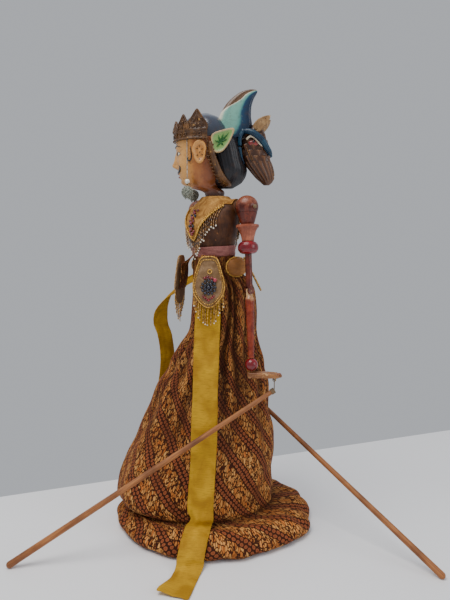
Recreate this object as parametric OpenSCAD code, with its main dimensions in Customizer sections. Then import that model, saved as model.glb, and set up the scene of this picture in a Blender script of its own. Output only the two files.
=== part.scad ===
// Wayang golek rod puppet on a table stand, built as separate pieces with working joints.
// Millimetres, +Z up. The origin is the centre of the stand's underside, on the central rod's
// axis. The torso faces -Y and the puppet's left is +X.

/* [Stand] */
// Radius of the stand's disc
base_r = 56; // [45:1:60]
// Thickness of the stand's disc
base_h = 14; // [10:1:20]
// Height of the rod socket above the disc
socket_h = 46; // [30:1:60]
// Radius of the rod socket
socket_r = 14; // [11:0.5:18]

/* [Central rod] */
// Radius of the rod's handle
handle_r = 7; // [6:0.1:8.5]
// Radius of the rod inside the torso and the head
spindle_r = 5.5; // [4:0.1:6.5]
// Height at which the torso rests on the rod's stop collar
stop_z = 342; // [335:1:348]
// Radial clearance between the rod and what turns on it
rod_play = 0.06; // [0.02:0.01:0.1]

/* [Torso] */
// Half of the chest's width
chest_w = 45.5; // [43:0.5:46]
// Half of the chest's depth
chest_d = 31; // [27:1:33]
// Half of the waist's width
waist_w = 35; // [31:1:37]
// Height of the torso's top
torso_top = 455; // [452:0.5:456]
// Thickness of the velvet collar
collar_t = 2.2; // [1.5:0.1:3]
// Height of the satin belt
belt_h = 14; // [10:1:18]

/* [Head] */
// How far the head is turned to the puppet's right
head_turn = 40; // [0:5:50]
// Radius of the neck's plug
plug_r = 12; // [10:0.5:13]
// Thickness of the hair crescent
crescent_t = 24; // [14:1:30]
// Thickness of the bird ornament
bird_t = 34; // [20:1:40]
// Radius of a tassel's beaded ball
tassel_r = 9; // [7:0.1:9.2]

/* [Arms] */
// Distance from the chest's side to a shoulder's pivot
shoulder_gap = 13.5; // [12:0.5:20]
// Radius of the shoulder ball
shoulder_r = 15; // [12:0.5:16]
// Length from shoulder pivot to elbow pivot
upper_len = 110; // [100:1:125]
// Length from elbow pivot to the forearm's end
fore_len = 88; // [75:1:100]
// Radius of the flared cuff's rim
cuff_r = 15; // [11:0.5:17]
// Radius of the crimson ring on the upper arm
ring_r = 13.6; // [10:0.2:15]
// Radius of the crimson bead at the wrist
bead_r = 8.5; // [7:0.1:10]
// Radius of the elbow pin
pin_r = 1.2; // [0.8:0.1:1.6]
// Radial clearance round a pin or a peg
pin_play = 0.05; // [0.02:0.01:0.1]
// Length of a hand past its wrist
hand_len = 40; // [34:1:44]

/* [Hand rods] */
// Length of the left hand's rod
rod_len_left = 394; // [370:1:400]
// Length of the right hand's rod
rod_len_right = 410; // [395:1:425]
// Radius of a hand rod at the hand
rod_top_r = 3; // [2:0.1:3.5]
// Radius of a hand rod at its foot
rod_foot_r = 4.3; // [3:0.1:5]

/* [Clothes] */
// Thickness of the skirt's cloth with its gathers
skirt_t = 2.2; // [1.2:0.1:3]
// Height of the cloth bunched on the floor
train_h = 23.7; // [20:0.1:23.9]
// Width of a scarf
scarf_w = 34; // [24:1:38]
// Thickness of a scarf
scarf_t = 1.6; // [0.8:0.1:2]
// Width of a hip flap
flap_w = 43; // [34:1:46]
// Length of a hip flap below the belt
flap_len = 66; // [54:1:72]

/* [Hidden] */
$fn = 48;

LEFT = 1;
RIGHT = -1;
eps = 0.01;
ring_n = 36;  // sides of a lofted shape
skirt_n = 40;  // sides of the skirt

// --- Lofts -----------------------------------------------------------------------------------
// A section is [z, centre x, centre y, half width, half depth].

function oval(s, n) = [for (i = [0:n - 1]) let (a = 360 * i / n)
    [s[1] + s[3] * cos(a), s[2] + s[4] * sin(a), s[0]]];

function grown(sections, g) = [for (s = sections) [s[0], s[1], s[2], s[3] + g, s[4] + g]];

// Joins closed rings of n points each, from the bottom one up, into one solid
module skin(rings, n) {
    last = (len(rings) - 1) * n;
    points = [for (r = rings) each r];
    sides = [for (j = [0:len(rings) - 2], i = [0:n - 1])
        let (a = j * n + i, b = j * n + (i + 1) % n) each [[a, a + n, b + n], [a, b + n, b]]];
    bottom = [for (i = [0:n - 1]) i];
    top = [for (i = [n - 1:-1:0]) last + i];
    polyhedron(points, concat([bottom, top], sides));
}

module loft(sections, n = ring_n) {
    skin([for (s = sections) oval(s, n)], n);
}

// --- Torso measures --------------------------------------------------------------------------
waist_z = 384;
hip_w = waist_w - 7;
hip_d = 22;
lift = 4;  // how far the torso can be pushed up the rod
torso_sections = [
    [stop_z + 0.3, 0, 0, hip_w - 2, hip_d - 2],
    [352, 0, 0, hip_w - 1, hip_d - 1],
    [366, 0, -1, hip_w + 2, hip_d],
    [376, 0, -2, waist_w - 1, hip_d + 1],
    [waist_z, 0, -3, waist_w, 23],
    [395, 0, -4, (waist_w + chest_w) / 2 - 3, chest_d - 4],
    [408, 0, -4.5, chest_w - 3, chest_d - 1],
    [420, 0, -4.5, chest_w, chest_d],
    [432, 0, -3, chest_w - 1, chest_d - 3],
    [443, 0, 0, chest_w - 4.5, chest_d - 8],
    [450, 0, 1, chest_w - 15.5, chest_d - 11],
    [torso_top, 0, 1, chest_w - 24, 17]];

// One measure of the torso (1 to 4, as in a section) at height z
function torso_at(z, k) = lookup(z, [for (s = torso_sections) [s[0], s[k]]]);
function torso_oval(z, g) = [z, torso_at(z, 1), torso_at(z, 2), torso_at(z, 3) + g,
    torso_at(z, 4) + g];

// The torso grown by g all round, for what is worn on it
module torso_form(g = 0) {
    loft([for (s = torso_sections) [s[0] + (s[0] == torso_top ? g : 0), s[1], s[2], s[3] + g,
        s[4] + g]]);
}

// The two flat-ended stubs that the shoulder balls turn against
module shoulder_stubs(g = 0) {
    translate([-stub_x, shoulder_y, shoulder_z]) rotate([0, 90, 0])
        cylinder(r = stub_r + g, h = 2 * stub_x);
}

// --- Arm measures ----------------------------------------------------------------------------
shoulder_x = chest_w + shoulder_gap;
shoulder_y = 11;
shoulder_z = 441;
arm_gap = 0.5;
stub_x = shoulder_x - shoulder_r + 1;  // the torso's flat shoulder face
stub_r = 10;
cord_r = 1.5;
core_r = 4.5;  // the arm's shaft inside the cuff and the ring
cuff_z = -24;
cuff_h = 21;
ring_h = 17;
elbow_r = 4.6;
fork_gap = 3.4;
tongue_t = 3;
peg_r = 1.5;
fore_top_r = 5.9;
fore_end_r = 4;
wrist_z = -(upper_len + fore_len);
bead_z = wrist_z - arm_gap - bead_r;
palm_z = bead_z - bead_r;  // where the hand starts
palm_t = 9;
staple_at = 30;  // along the hand
staple_drop = 2.6;
staple_wire = 0.7;
staple_span = 9;
tie_ring_r = 2;
tie_wire = 0.6;

function swing(side) = side == LEFT ? -2 : 19.5;  // backwards from hanging
function tilt(side) = side == LEFT ? 5.65 : 3;  // outwards from hanging
function hand_yaw(side) = side == LEFT ? 55 : 187;
function hand_pitch(side) = side == LEFT ? 0 : 62;  // fingers down from level
function rod_yaw(side) = side == LEFT ? -111.6 : 7;
function tie_drop(side) = side == LEFT ? 14 : 26;
function rod_len(side) = side == LEFT ? rod_len_left : rod_len_right;

function shoulder(side) = [side * shoulder_x, shoulder_y, shoulder_z];
// A point on the arm's line, z below the shoulder, in the puppet's frame
function on_arm(side, z) = shoulder(side) + z * [-side * cos(swing(side)) * sin(tilt(side)),
    -sin(swing(side)), cos(swing(side)) * cos(tilt(side))];
function on_hand(side, along, below) = let (w = hand_yaw(side), p = hand_pitch(side))
    on_arm(side, palm_z) + along * [cos(p) * cos(w), cos(p) * sin(w), -sin(p)]
        - below * [sin(p) * cos(w), sin(p) * sin(w), cos(p)];
function staple(side) = on_hand(side, staple_at, palm_t + staple_drop);
function rod_top(side) = staple(side) - [0, 0, tie_drop(side)];
function rod_fall(side) = asin((rod_top(side)[2] - rod_foot_r) / (rod_len(side) - rod_foot_r));

module on_arm_frame(side) {
    translate(shoulder(side)) rotate([swing(side), -side * tilt(side), 0]) children();
}

module on_hand_frame(side) {
    translate(on_arm(side, palm_z)) rotate([0, hand_pitch(side), hand_yaw(side)]) children();
}

// Along the rod: +X runs from its top to its foot
module on_rod_frame(side) {
    translate(rod_top(side)) rotate([0, rod_fall(side), rod_yaw(side)]) children();
}

// --- Head measures ---------------------------------------------------------------------------
// In the head's own frame the face looks along -Y.
head_sections = [
    [torso_top + lift + 1, 0, 0, 13.5, 13.5],
    [466, 0, -3, 14, 16],
    [471, 0, -17, 17, 22],
    [480, 0, -18, 22, 29],
    [492, 0, -18, 26, 32],
    [508, 0, -17, 29, 35],
    [526, 0, -16, 31, 37],
    [533, 0, -16, 31, 37]];
cap_sections = [
    [533.2, 0, -16, 31, 37],
    [543, 0, -16, 29.5, 35.5],
    [555, 0, -15, 24, 29],
    [563, 0, -14, 17, 20],
    [569, 0, -13, 7, 8]];
neck_bottom = 447;
band_z = 530;
band_h = 13;
band_t = 3;
ear_y = -17;
ear_z = 514;
temple_y = -34;
temple_x = 28.8;
pendant_top = band_z - 0.1;
pendant_bead_z = 475.5;
tassel_z = 461.5;
tassel_bottom = 451;
thread_r = 0.6;

module in_head() {
    rotate([0, 0, -head_turn]) children();
}

// Turns a drawing in the head's side view (y, z) into a plate of thickness t centred at x
module side_plate(t, x = 0) {
    translate([x - t / 2, 0, 0]) rotate([90, 0, 90]) linear_extrude(t) children();
}

module head_form(g = 0) {
    loft(grown(head_sections, g));
    loft(grown(cap_sections, g));
}

// --- Skirt measures --------------------------------------------------------------------------
// The cloth spreads wider along one direction, so its lower sections are ovals in a frame
// turned by drape, and the top one is the waist's own oval.
drape = 55;
skirt_top = 375;
skirt_gap = 0.3;
skirt_sections = [
    [24.1, -22, 0, 102, 86],
    [31, -27, 0, 111, 89],
    [45, -30, 0, 115, 90],
    [70, -27, 0, 113, 87],
    [95, -19, 0, 110, 82],
    [117, -13, 0, 104, 77],
    [142, -9, 0, 96, 71],
    [165, -6, 0, 89, 67],
    [195, -2, 0, 82, 62],
    [216, 3, 0, 71, 58],
    [232, 4, 0, 66, 54],
    [250, 6, 0, 58, 49],
    [271, 11, 0, 49, 45],
    [300, 13, 0, 47, 42],
    [330, 12, 0, 44, 38],
    [352, 7, 0, 39, 34]];
train_sections = [
    [0, 0, -11, 134, 117],
    [5, 0, -11, 141, 125],
    [12, 0, -11, 142, 126],
    [19, 0, -9, 133, 117],
    [train_h, -4, -6, 122, 101]];
train_hole = [-22, 0, 96, 79];

function turned(p, a) = [p[0] * cos(a) - p[1] * sin(a), p[0] * sin(a) + p[1] * cos(a), p[2]];
// Ring i of a turned oval starts at the same world angle as the waist's ring
function draped(s, n) = [for (i = [0:n - 1]) let (a = 360 * i / n - drape)
    turned([s[1] + s[3] * cos(a), s[2] + s[4] * sin(a), s[0]], drape)];

module skirt_form(g, low, high) {
    rings = concat([for (s = skirt_sections) draped([s[0], s[1], s[2], s[3] + g, s[4] + g],
        skirt_n)], [oval(torso_oval(skirt_top, skirt_t + skirt_gap + g), skirt_n)]);
    first = [for (p = rings[0]) [p[0], p[1], p[2] - low]];
    last = [for (p = rings[len(rings) - 1]) [p[0], p[1], p[2] + high]];
    skin(concat(low > 0 ? [first] : [], rings, high > 0 ? [last] : []), skirt_n);
}

// Scarves: each step is a point of the cloth's middle line in the skirt's turned frame
scarf_left_path = [[-5, -38, 372], [-5, -41, 340], [-8, -46, 306], [-10, -50, 270],
    [-11, -58, 235], [-12, -66, 200], [-13, -72, 160], [-14, -80, 120], [-16, -89, 85],
    [-18, -95, 55], [-20, -98, 35], [-22, -106, 27.5], [-24, -120, 25.5], [-26, -133, 20],
    [-28, -141.5, 12], [-29, -147, 4], [-31, -160, 1.7], [-36, -198, 1.7]];
scarf_right_path = [[-24, 32, 345], [-36, 42, 340], [-56, 39, 328], [-71, 40, 314],
    [-80, 39, 296], [-81, 40, 276], [-76, 43, 258], [-73, 49, 232], [-74, 53, 205],
    [-80, 57, 165], [-88, 65, 120], [-96, 75, 80], [-101, 83, 45], [-104, 86, 32]];
scarf_right_yaw = -118;

// A band of cloth along path, w wide across direction yaw, t thick
module band(path, yaw, w, t) {
    side = [cos(yaw), sin(yaw), 0] * w / 2;
    function lie(i) = let (d = path[min(i + 1, len(path) - 1)] - path[max(i - 1, 0)],
        m = cross(side, d)) m / norm(m) * t / 2;
    skin([for (i = [0:len(path) - 1]) let (p = path[i], m = lie(i))
        [p - side + m, p + side + m, p + side - m, p - side - m]], 4);
}

// --- Stand and central rod -------------------------------------------------------------------
module stand_base() {
    color("saddlebrown") difference() {
        rotate_extrude($fn = 96) polygon([[0, 0], [base_r, 0], [base_r, base_h - 3],
            [base_r - 3, base_h], [0, base_h]]);
        translate([0, 0, base_h - 6]) cylinder(r = socket_r, h = 10);
    }
}

module stand_socket() {
    color("peru") difference() {
        translate([0, 0, base_h - 6]) cylinder(r = socket_r, h = socket_h + 6);
        translate([0, 0, base_h]) cylinder(r = handle_r + rod_play, h = socket_h + 1);
    }
}

module central_rod() {
    color("burlywood") {
        translate([0, 0, base_h + 0.3]) cylinder(r = handle_r, h = stop_z - 10 - base_h - 0.3);
        translate([0, 0, stop_z - 10]) cylinder(r = spindle_r, h = 510 - stop_z + 10);
    }
}

module rod_stop() {
    color("sienna") difference() {
        translate([0, 0, stop_z - 10]) cylinder(r = 12, h = 10);
        translate([0, 0, stop_z - 11]) cylinder(r = spindle_r, h = 12);
    }
}

// --- Torso and what is sewn on it ------------------------------------------------------------
module torso() {
    color("#3a2418") difference() {
        union() {
            torso_form();
            shoulder_stubs();
        }
        translate([0, 0, 300]) cylinder(r = spindle_r + rod_play, h = 200);
        translate([0, 0, neck_bottom - 8]) cylinder(r = plug_r + 0.3, h = 40);
        translate([-80, shoulder_y, shoulder_z]) rotate([0, 90, 0]) cylinder(r = cord_r, h = 160);
    }
}

// The cord stops short of the neck's socket on each side, where it is tied off inside
module shoulder_cord() {
    color("linen") for (side = [LEFT, RIGHT]) translate([0, shoulder_y, shoulder_z])
        rotate([0, side * 90, 0]) {
            translate([0, 0, plug_r + 2]) cylinder(r = cord_r, h = shoulder_x + shoulder_r - plug_r);
            translate([0, 0, shoulder_x + shoulder_r + 2]) sphere(r = 2.6);
        }
}

collar_outline = [[-40, 470], [40, 470], [40, 445], [6, 401], [0, 397], [-6, 401], [-40, 445]];
fringe_drop = 24;

module collar_outline_shape(drop = 0) {
    translate([0, -drop]) polygon(collar_outline);
}

// A layer of the torso from g0 to g1 above its skin, where the front drawing covers it
module chest_layer(g0, g1) {
    difference() {
        intersection() {
            torso_form(g1);
            translate([0, 100, 0]) rotate([90, 0, 0]) linear_extrude(200) children();
        }
        torso_form(g0);
        shoulder_stubs(g0);
        translate([0, 0, 400]) cylinder(r = plug_r + 3.5, h = 100);
    }
}

module collar() {
    color("#7a6030") chest_layer(0, collar_t) collar_outline_shape();
}

module collar_trim() {
    color("goldenrod") chest_layer(collar_t, collar_t + 1) difference() {
        collar_outline_shape();
        collar_outline_shape(-5);
    }
}

module collar_fringe() {
    color("#2c2118") chest_layer(0.2, 1.8) difference() {
        collar_outline_shape(fringe_drop);
        collar_outline_shape(0.2);
        translate([-100, 440]) square([200, 100]);
        translate([-100, 300]) square([200, skirt_top + belt_h + 1 - 300]);
    }
}

module chest_beads() {
    bead = 1.9;
    color("firebrick") for (z = [406:7:434])
        translate([0, torso_at(z, 2) - torso_at(z, 4) - collar_t - bead - 0.6, z])
            sphere(r = bead, $fn = 16);
}

module belt() {
    low = skirt_top + 0.2;
    color("#a86a60") difference() {
        loft([torso_oval(low, 2.4), torso_oval(low + 3, 3.6), torso_oval(low + belt_h - 3, 3.6),
            torso_oval(low + belt_h, 2.2)]);
        torso_form();
    }
}

// --- Skirt -----------------------------------------------------------------------------------
module skirt() {
    color("#a86c3c") difference() {
        skirt_form(0, 0, 0);
        skirt_form(-skirt_t, 2, 2);
    }
}

module skirt_train() {
    color("#8a5530") difference() {
        skin([for (s = train_sections) draped(s, skirt_n)], skirt_n);
        skin([for (z = [-2, train_h + 2]) draped(concat([z], train_hole), skirt_n)], skirt_n);
    }
}

module hip_boss(side) {
    color("#6e4a26") difference() {
        translate([side * 42, 6, 362]) rotate([0, side * 12, 0])
            loft([[-13, 0, 0, 3, 8], [-8, 0, 0, 7, 14], [0, 0, 0, 9, 17], [8, 0, 0, 7, 14],
                [12.5, 0, 0, 3, 8]], 20);
        skirt_form(0.3, 0, 5);
    }
}

// --- Hip flaps -------------------------------------------------------------------------------
// A flap's frame: origin at its top middle, X across, Y outwards, Z up
function flap_yaw(side) = side * 50;
function flap_place(side) = side == LEFT ? [34, -32.5, 374] : [-32, -33.5, 374];
flap_lean = 3;

module on_flap_frame(side) {
    translate(flap_place(side)) rotate([0, 0, flap_yaw(side)]) rotate([-flap_lean, 0, 0])
        rotate([90, 0, 0]) children();
}

module flap_outline(w, l) {
    hull() {
        translate([-w / 2 + 7, -3]) square([w - 14, 3]);
        translate([0, -l + w * 0.42]) circle(r = w * 0.42, $fn = 32);
        translate([0, -l * 0.45]) square([w, 1], center = true);
    }
}

module hip_flap(side) {
    color("#8a6a3c") on_flap_frame(side) linear_extrude(2.4) flap_outline(flap_w, flap_len);
}

module flap_fringe(side) {
    color("#5a4630") on_flap_frame(side) translate([0, 0, 0.4]) linear_extrude(1.4) difference() {
        translate([0, -26]) flap_outline(flap_w - 5, flap_len);
        offset(0.2) flap_outline(flap_w, flap_len);
        translate([-50, -flap_len * 0.72]) square([100, 100]);
    }
}

module flap_beads(side) {
    color("#20243c") on_flap_frame(side) translate([0, -flap_len * 0.62, 4.4]) {
        sphere(r = 1.9, $fn = 16);
        for (a = [0:60:300]) rotate([0, 0, a]) translate([6, 0, 0]) sphere(r = 1.9, $fn = 16);
    }
}

module rear_flap() {
    lean = -27;
    color("#55502a") rotate([0, 0, drape]) translate([40, 6, 372]) rotate([0, lean, 0])
        rotate([90, 0, 90]) linear_extrude(2.4) polygon([[-20, 0], [20, 0], [20, -24],
            [0, -52], [-20, -24]]);
}

// --- Scarves ---------------------------------------------------------------------------------
module scarf_left() {
    color("goldenrod") rotate([0, 0, drape]) band(scarf_left_path, 0, scarf_w, scarf_t);
}

module scarf_right() {
    color("goldenrod") rotate([0, 0, drape])
        band(scarf_right_path, scarf_right_yaw, scarf_w - 10, scarf_t);
}

// --- Head ------------------------------------------------------------------------------------
module head() {
    color("#c8924c") in_head() difference() {
        union() {
            translate([0, 0, neck_bottom]) cylinder(r = plug_r, h = 15);
            loft(head_sections);
            hull() {
                translate([0, -50, 508]) sphere(r = 3, $fn = 20);
                translate([0, -57, 497]) sphere(r = 3.2, $fn = 20);
                translate([0, -48, 493]) sphere(r = 5, $fn = 20);
            }
            for (side = [LEFT, RIGHT]) side_plate(6, side * 30)
                translate([ear_y, ear_z]) scale([0.64, 1]) circle(r = 15.5, $fn = 32);
        }
        translate([0, 0, 400]) cylinder(r = spindle_r, h = 110);
    }
}

module skull_cap() {
    color("#28323c") in_head() loft(cap_sections);
}

// A pointed leaf w wide and h high, standing on the origin
module leaf(w, h) {
    polygon([[-w / 2, 0], [w / 2, 0], [w * 0.46, h * 0.42], [w * 0.2, h * 0.74], [0, h],
        [-w * 0.2, h * 0.74], [-w * 0.46, h * 0.42]]);
}

// Angle round the brow, leaf width and leaf height: each is mirrored to the other side
diadem_leaves = [[0, 14, 10], [26, 14, 11], [52, 17, 21], [80, 20, 28]];

module diadem() {
    color("#5c4630") in_head() difference() {
        union() {
            loft([[band_z, 0, -16, 31 + band_t, 37 + band_t],
                [band_z + band_h, 0, -16, 31 + band_t + 1, 37 + band_t + 1]]);
            for (l = diadem_leaves, side = l[0] == 0 ? [LEFT] : [LEFT, RIGHT])
                translate([side * 33 * sin(l[0]), -16 - 39 * cos(l[0]), band_z + band_h - eps])
                    rotate([0, 0, side * l[0]]) rotate([90, 0, 0])
                        translate([0, 0, -1.5]) linear_extrude(3) leaf(l[1], l[2]);
        }
        head_form(0.1);
        translate([-60, -2, 500]) cube([120, 80, 100]);
    }
}

module hair() {
    color("#1c1a1a") in_head() difference() {
        loft([[468, 0, 14, 9, 9], [476, 0, 15, 19, 18], [490, 0, 16, 25, 22],
            [506, 0, 14, 27, 23], [520, 0, 12, 28, 25], [533, 0, 10, 29, 25]], 24);
        loft(grown(head_sections, 0.2));
        translate([0, 0, 440]) cylinder(r = plug_r, h = 70);
        translate([-60, -62, 440]) cube([120, 60, 160]);
    }
}

module hair_crescent() {
    color("#2e6c84") in_head() difference() {
        side_plate(crescent_t) polygon([[1, 534], [0, 546], [10, 565], [24, 582], [40, 594],
            [52, 599.5], [57, 598], [53, 590], [49, 578], [49, 564], [51, 552], [44, 538],
            [30, 534]]);
        head_form(0.2);
        loft([[533, 0, -14, 29.5, 36], [546, 0, -14, 28.7, 35], [556, 0, -14, 24, 29],
            [566, 0, -14, 16, 20]]);
    }
}

module ear_leaf(side) {
    color("#6e8c46") in_head() side_plate(2.4, side * 33.5)
        polygon([[1, 514], [0, 536], [14, 541], [30, 543], [24, 528], [13, 513]]);
}

module bird_ornament() {
    color("#4a3424") in_head() difference() {
        side_plate(bird_t) polygon([[30, 533.6], [44, 537.6], [52, 552], [57, 559], [66, 562], [65, 549],
            [71, 534], [74, 512], [77, 490], [77, 480], [71, 472], [64, 474], [55, 480],
            [44, 494], [36, 508], [34, 522]]);
        loft([[460, 0, 14, 22, 24], [490, 0, 16, 25.3, 22.3], [506, 0, 14, 27.3, 23.3],
            [520, 0, 12, 28.3, 25.3], [534, 0, 10, 29.3, 25.3]], 24);
    }
}

// --- Ear pendants ----------------------------------------------------------------------------
module on_pendant(side) {
    in_head() translate([side * temple_x, temple_y, 0]) children();
}

// Straight cord from the temple down into the tassel: its route is two ends and what is between
thread_route = [pendant_top, 522, 515, 508, 501, 494, 487, 480, 470.2];

module pendant_thread(side) {
    color("silver") on_pendant(side) skin([for (i = [len(thread_route) - 1:-1:0])
        [for (k = [0:7]) [thread_r * cos(45 * k), thread_r * sin(45 * k), thread_route[i]]]], 8);
}

module pendant_bead(side) {
    color("ivory") on_pendant(side) difference() {
        translate([0, 0, pendant_bead_z]) sphere(r = 3.4, $fn = 24);
        translate([0, 0, pendant_bead_z - 5]) cylinder(r = thread_r + 0.05, h = 10, $fn = 24);
    }
}

module pendant_tassel(side) {
    color("#82826e") on_pendant(side) difference() {
        union() {
            translate([0, 0, tassel_z]) sphere(r = tassel_r, $fn = 32);
            translate([0, 0, tassel_bottom]) cylinder(r1 = 5.2, r2 = 6.4, h = 5, $fn = 32);
        }
        translate([0, 0, 470.1]) cylinder(r = 2, h = 5, $fn = 24);
    }
}

// --- Arms ------------------------------------------------------------------------------------
module shoulder_bore(side) {
    translate([0, shoulder_y, shoulder_z]) rotate([0, side * 90, 0])
        cylinder(r = cord_r + pin_play, h = 2 * shoulder_x);
}

module upper_arm(side) {
    color("#5a3020") difference() {
        on_arm_frame(side) {
            sphere(r = shoulder_r);
            translate([0, 0, cuff_z]) cylinder(r1 = 8.5, r2 = 13.4, h = -cuff_z - 8);
            translate([0, 0, -upper_len + 12]) cylinder(r = core_r, h = upper_len - 20);
            difference() {
                union() {
                    translate([0, 0, -upper_len]) cylinder(r = elbow_r, h = 16);
                    translate([0, 0, -upper_len]) rotate([0, 90, 0])
                        cylinder(r = elbow_r, h = 2 * elbow_r - 1, center = true);
                }
                translate([-fork_gap / 2, -10, -upper_len - 10]) cube([fork_gap, 20, 15.2]);
                translate([0, 0, -upper_len]) rotate([0, 90, 0])
                    cylinder(r = pin_r, h = 20, center = true);
            }
        }
        shoulder_bore(side);
        translate([side * (stub_x + arm_gap) - (side == RIGHT ? 0 : 40), -20, 400])
            cube([40, 60, 80]);
    }
}

module arm_cuff(side) {
    color("#a8604c") on_arm_frame(side) translate([0, 0, cuff_z - cuff_h]) difference() {
        rotate_extrude() polygon([[core_r, 0], [8, 0], [8.6, 5], [11, 13], [14, cuff_h - 3],
            [cuff_r, cuff_h - 3], [cuff_r, cuff_h], [8.6, cuff_h], [core_r, cuff_h - 4]]);
        translate([0, 0, cuff_h - eps]) cylinder(r = 9, h = 4);
        translate([0, 0, cuff_h - 4]) cylinder(r1 = core_r, r2 = 8.6, h = 4);
    }
}

module arm_ring(side) {
    color("#8c1028") on_arm_frame(side) translate([0, 0, cuff_z - cuff_h - ring_h])
        rotate_extrude() polygon(concat([[core_r, 0]],
            [for (a = [-60:20:60]) [ring_r - 4 + 4 * cos(a), ring_h / 2 + ring_h / 2 * sin(a) / sin(60)]],
            [[core_r, ring_h]]));
}

module elbow_pin(side) {
    color("wheat") on_arm_frame(side) translate([0, 0, -upper_len]) rotate([0, 90, 0])
        cylinder(r = pin_r, h = 2 * elbow_r - 1, center = true);
}

module forearm(side) {
    color("#8c4a34") on_arm_frame(side) difference() {
        union() {
            translate([0, 0, wrist_z])
                cylinder(r1 = fore_end_r, r2 = fore_top_r, h = fore_len - 10.5);
            translate([0, 0, -upper_len - 10.5]) cylinder(r1 = fore_top_r, r2 = 3, h = 4.9);
            intersection() {
                union() {
                    translate([-tongue_t / 2, -4, -upper_len - 10]) cube([tongue_t, 8, 10]);
                    translate([0, 0, -upper_len]) rotate([0, 90, 0])
                        cylinder(r = 4.2, h = tongue_t, center = true);
                }
                translate([-5, -5, -upper_len - 10]) cube([10, 10, 20]);
            }
        }
        translate([0, 0, -upper_len]) rotate([0, 90, 0])
            cylinder(r = pin_r + pin_play, h = 20, center = true);
        translate([0, 0, wrist_z - 1]) cylinder(r = peg_r + pin_play, h = 14);
    }
}

module wrist_peg(side) {
    color("wheat") on_arm_frame(side) translate([0, 0, palm_z]) cylinder(r = peg_r,
        h = 2 * bead_r + arm_gap + 12);
}

module wrist_bead(side) {
    color("#8c1028") on_arm_frame(side) difference() {
        translate([0, 0, bead_z]) sphere(r = bead_r);
        translate([0, 0, bead_z - 2 * bead_r]) cylinder(r = peg_r, h = 4 * bead_r);
    }
}

// Hand in its frame: X along the fingers, palm down, wrist at the origin
module hand_outline() {
    union() {
        hull() {
            circle(r = 6, $fn = 32);
            translate([hand_len * 0.5, 0]) square([4, 17], center = true);
        }
        for (k = [0:3]) translate([hand_len * 0.45, -8.4 + 4.3 * k])
            square([hand_len * 0.55 - (k == 0 || k == 3 ? 4 : 0), 3.9]);
        translate([8, 4]) rotate(38) square([12, 4.4]);
    }
}

module hand(side) {
    color("#a8743c") difference() {
        on_hand_frame(side) mirror([0, side == LEFT ? 0 : 1, 0]) {
            translate([0, 0, -palm_t]) linear_extrude(palm_t - 1) hand_outline();
            translate([0, 0, -palm_t]) cylinder(r = 5.4, h = palm_t - 1);
        }
        on_arm_frame(side) translate([0, 0, bead_z]) sphere(r = bead_r);
        staple_wires(side);
    }
}

// The staple's wire: two legs up into the palm and a bar that the rod's thread hangs on.
// The bar is level and square to the rod.
module staple_wires(side) {
    translate(staple(side)) rotate([0, hand_pitch(side), hand_yaw(side)])
        rotate([0, 0, side == LEFT ? rod_yaw(side) - hand_yaw(side) : 0]) {
            rotate([90, 0, 0]) cylinder(r = staple_wire, h = staple_span, center = true,
                $fn = 24);
            for (s = [-1, 1]) translate([0, s * staple_span / 2, 0]) {
                sphere(r = staple_wire, $fn = 24);
                cylinder(r = staple_wire, h = 7, $fn = 24);
            }
        }
}

module hand_staple(side) {
    color("goldenrod") staple_wires(side);
}

// Loop of thread on the staple, its hanging stretch, and the turns wound round the rod's end
module rod_tie(side) {
    color("dimgray") difference() {
        union() {
            translate(staple(side)) rotate([0, 0, rod_yaw(side)]) rotate([90, 0, 0])
                rotate_extrude($fn = 32) translate([tie_ring_r, 0]) circle(r = tie_wire, $fn = 16);
            translate(rod_top(side))
                cylinder(r = tie_wire, h = tie_drop(side) - tie_ring_r - 0.2, $fn = 16);
            on_rod_frame(side) rotate([0, 90, 0]) cylinder(r = rod_top_r + 0.9, h = 5);
        }
        on_rod_frame(side) rotate([0, 90, 0]) cylinder(r = rod_top_r, h = 7);
    }
}

module hand_rod(side) {
    color("#785238") on_rod_frame(side) rotate([0, 90, 0]) {
        cylinder(r = rod_top_r, h = 6);
        translate([0, 0, 6]) cylinder(r1 = rod_top_r, r2 = rod_foot_r,
            h = rod_len(side) - rod_foot_r - 6);
        translate([0, 0, rod_len(side) - rod_foot_r]) sphere(r = rod_foot_r);
    }
}

stand_base();
stand_socket();
central_rod();
rod_stop();
torso();
shoulder_cord();
collar();
collar_trim();
collar_fringe();
chest_beads();
belt();
skirt();
skirt_train();
hip_boss(LEFT);  // hip_boss_left
hip_boss(RIGHT);  // hip_boss_right
rear_flap();
hip_flap(LEFT);  // hip_flap_left
hip_flap(RIGHT);  // hip_flap_right
flap_fringe(LEFT);  // flap_fringe_left
flap_fringe(RIGHT);  // flap_fringe_right
flap_beads(LEFT);  // flap_beads_left
flap_beads(RIGHT);  // flap_beads_right
scarf_left();
scarf_right();
head();
skull_cap();
diadem();
hair();
hair_crescent();
ear_leaf(LEFT);  // ear_leaf_left
ear_leaf(RIGHT);  // ear_leaf_right
bird_ornament();
pendant_thread(LEFT);  // pendant_thread_left
pendant_bead(LEFT);  // pendant_bead_left
pendant_tassel(LEFT);  // pendant_tassel_left
pendant_thread(RIGHT);  // pendant_thread_right
pendant_bead(RIGHT);  // pendant_bead_right
pendant_tassel(RIGHT);  // pendant_tassel_right
upper_arm(LEFT);  // upper_arm_left
arm_cuff(LEFT);  // arm_cuff_left
arm_ring(LEFT);  // arm_ring_left
elbow_pin(LEFT);  // elbow_pin_left
forearm(LEFT);  // forearm_left
wrist_peg(LEFT);  // wrist_peg_left
wrist_bead(LEFT);  // wrist_bead_left
hand(LEFT);  // hand_left
hand_staple(LEFT);  // hand_staple_left
rod_tie(LEFT);  // rod_tie_left
hand_rod(LEFT);  // hand_rod_left
upper_arm(RIGHT);  // upper_arm_right
arm_cuff(RIGHT);  // arm_cuff_right
arm_ring(RIGHT);  // arm_ring_right
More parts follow.
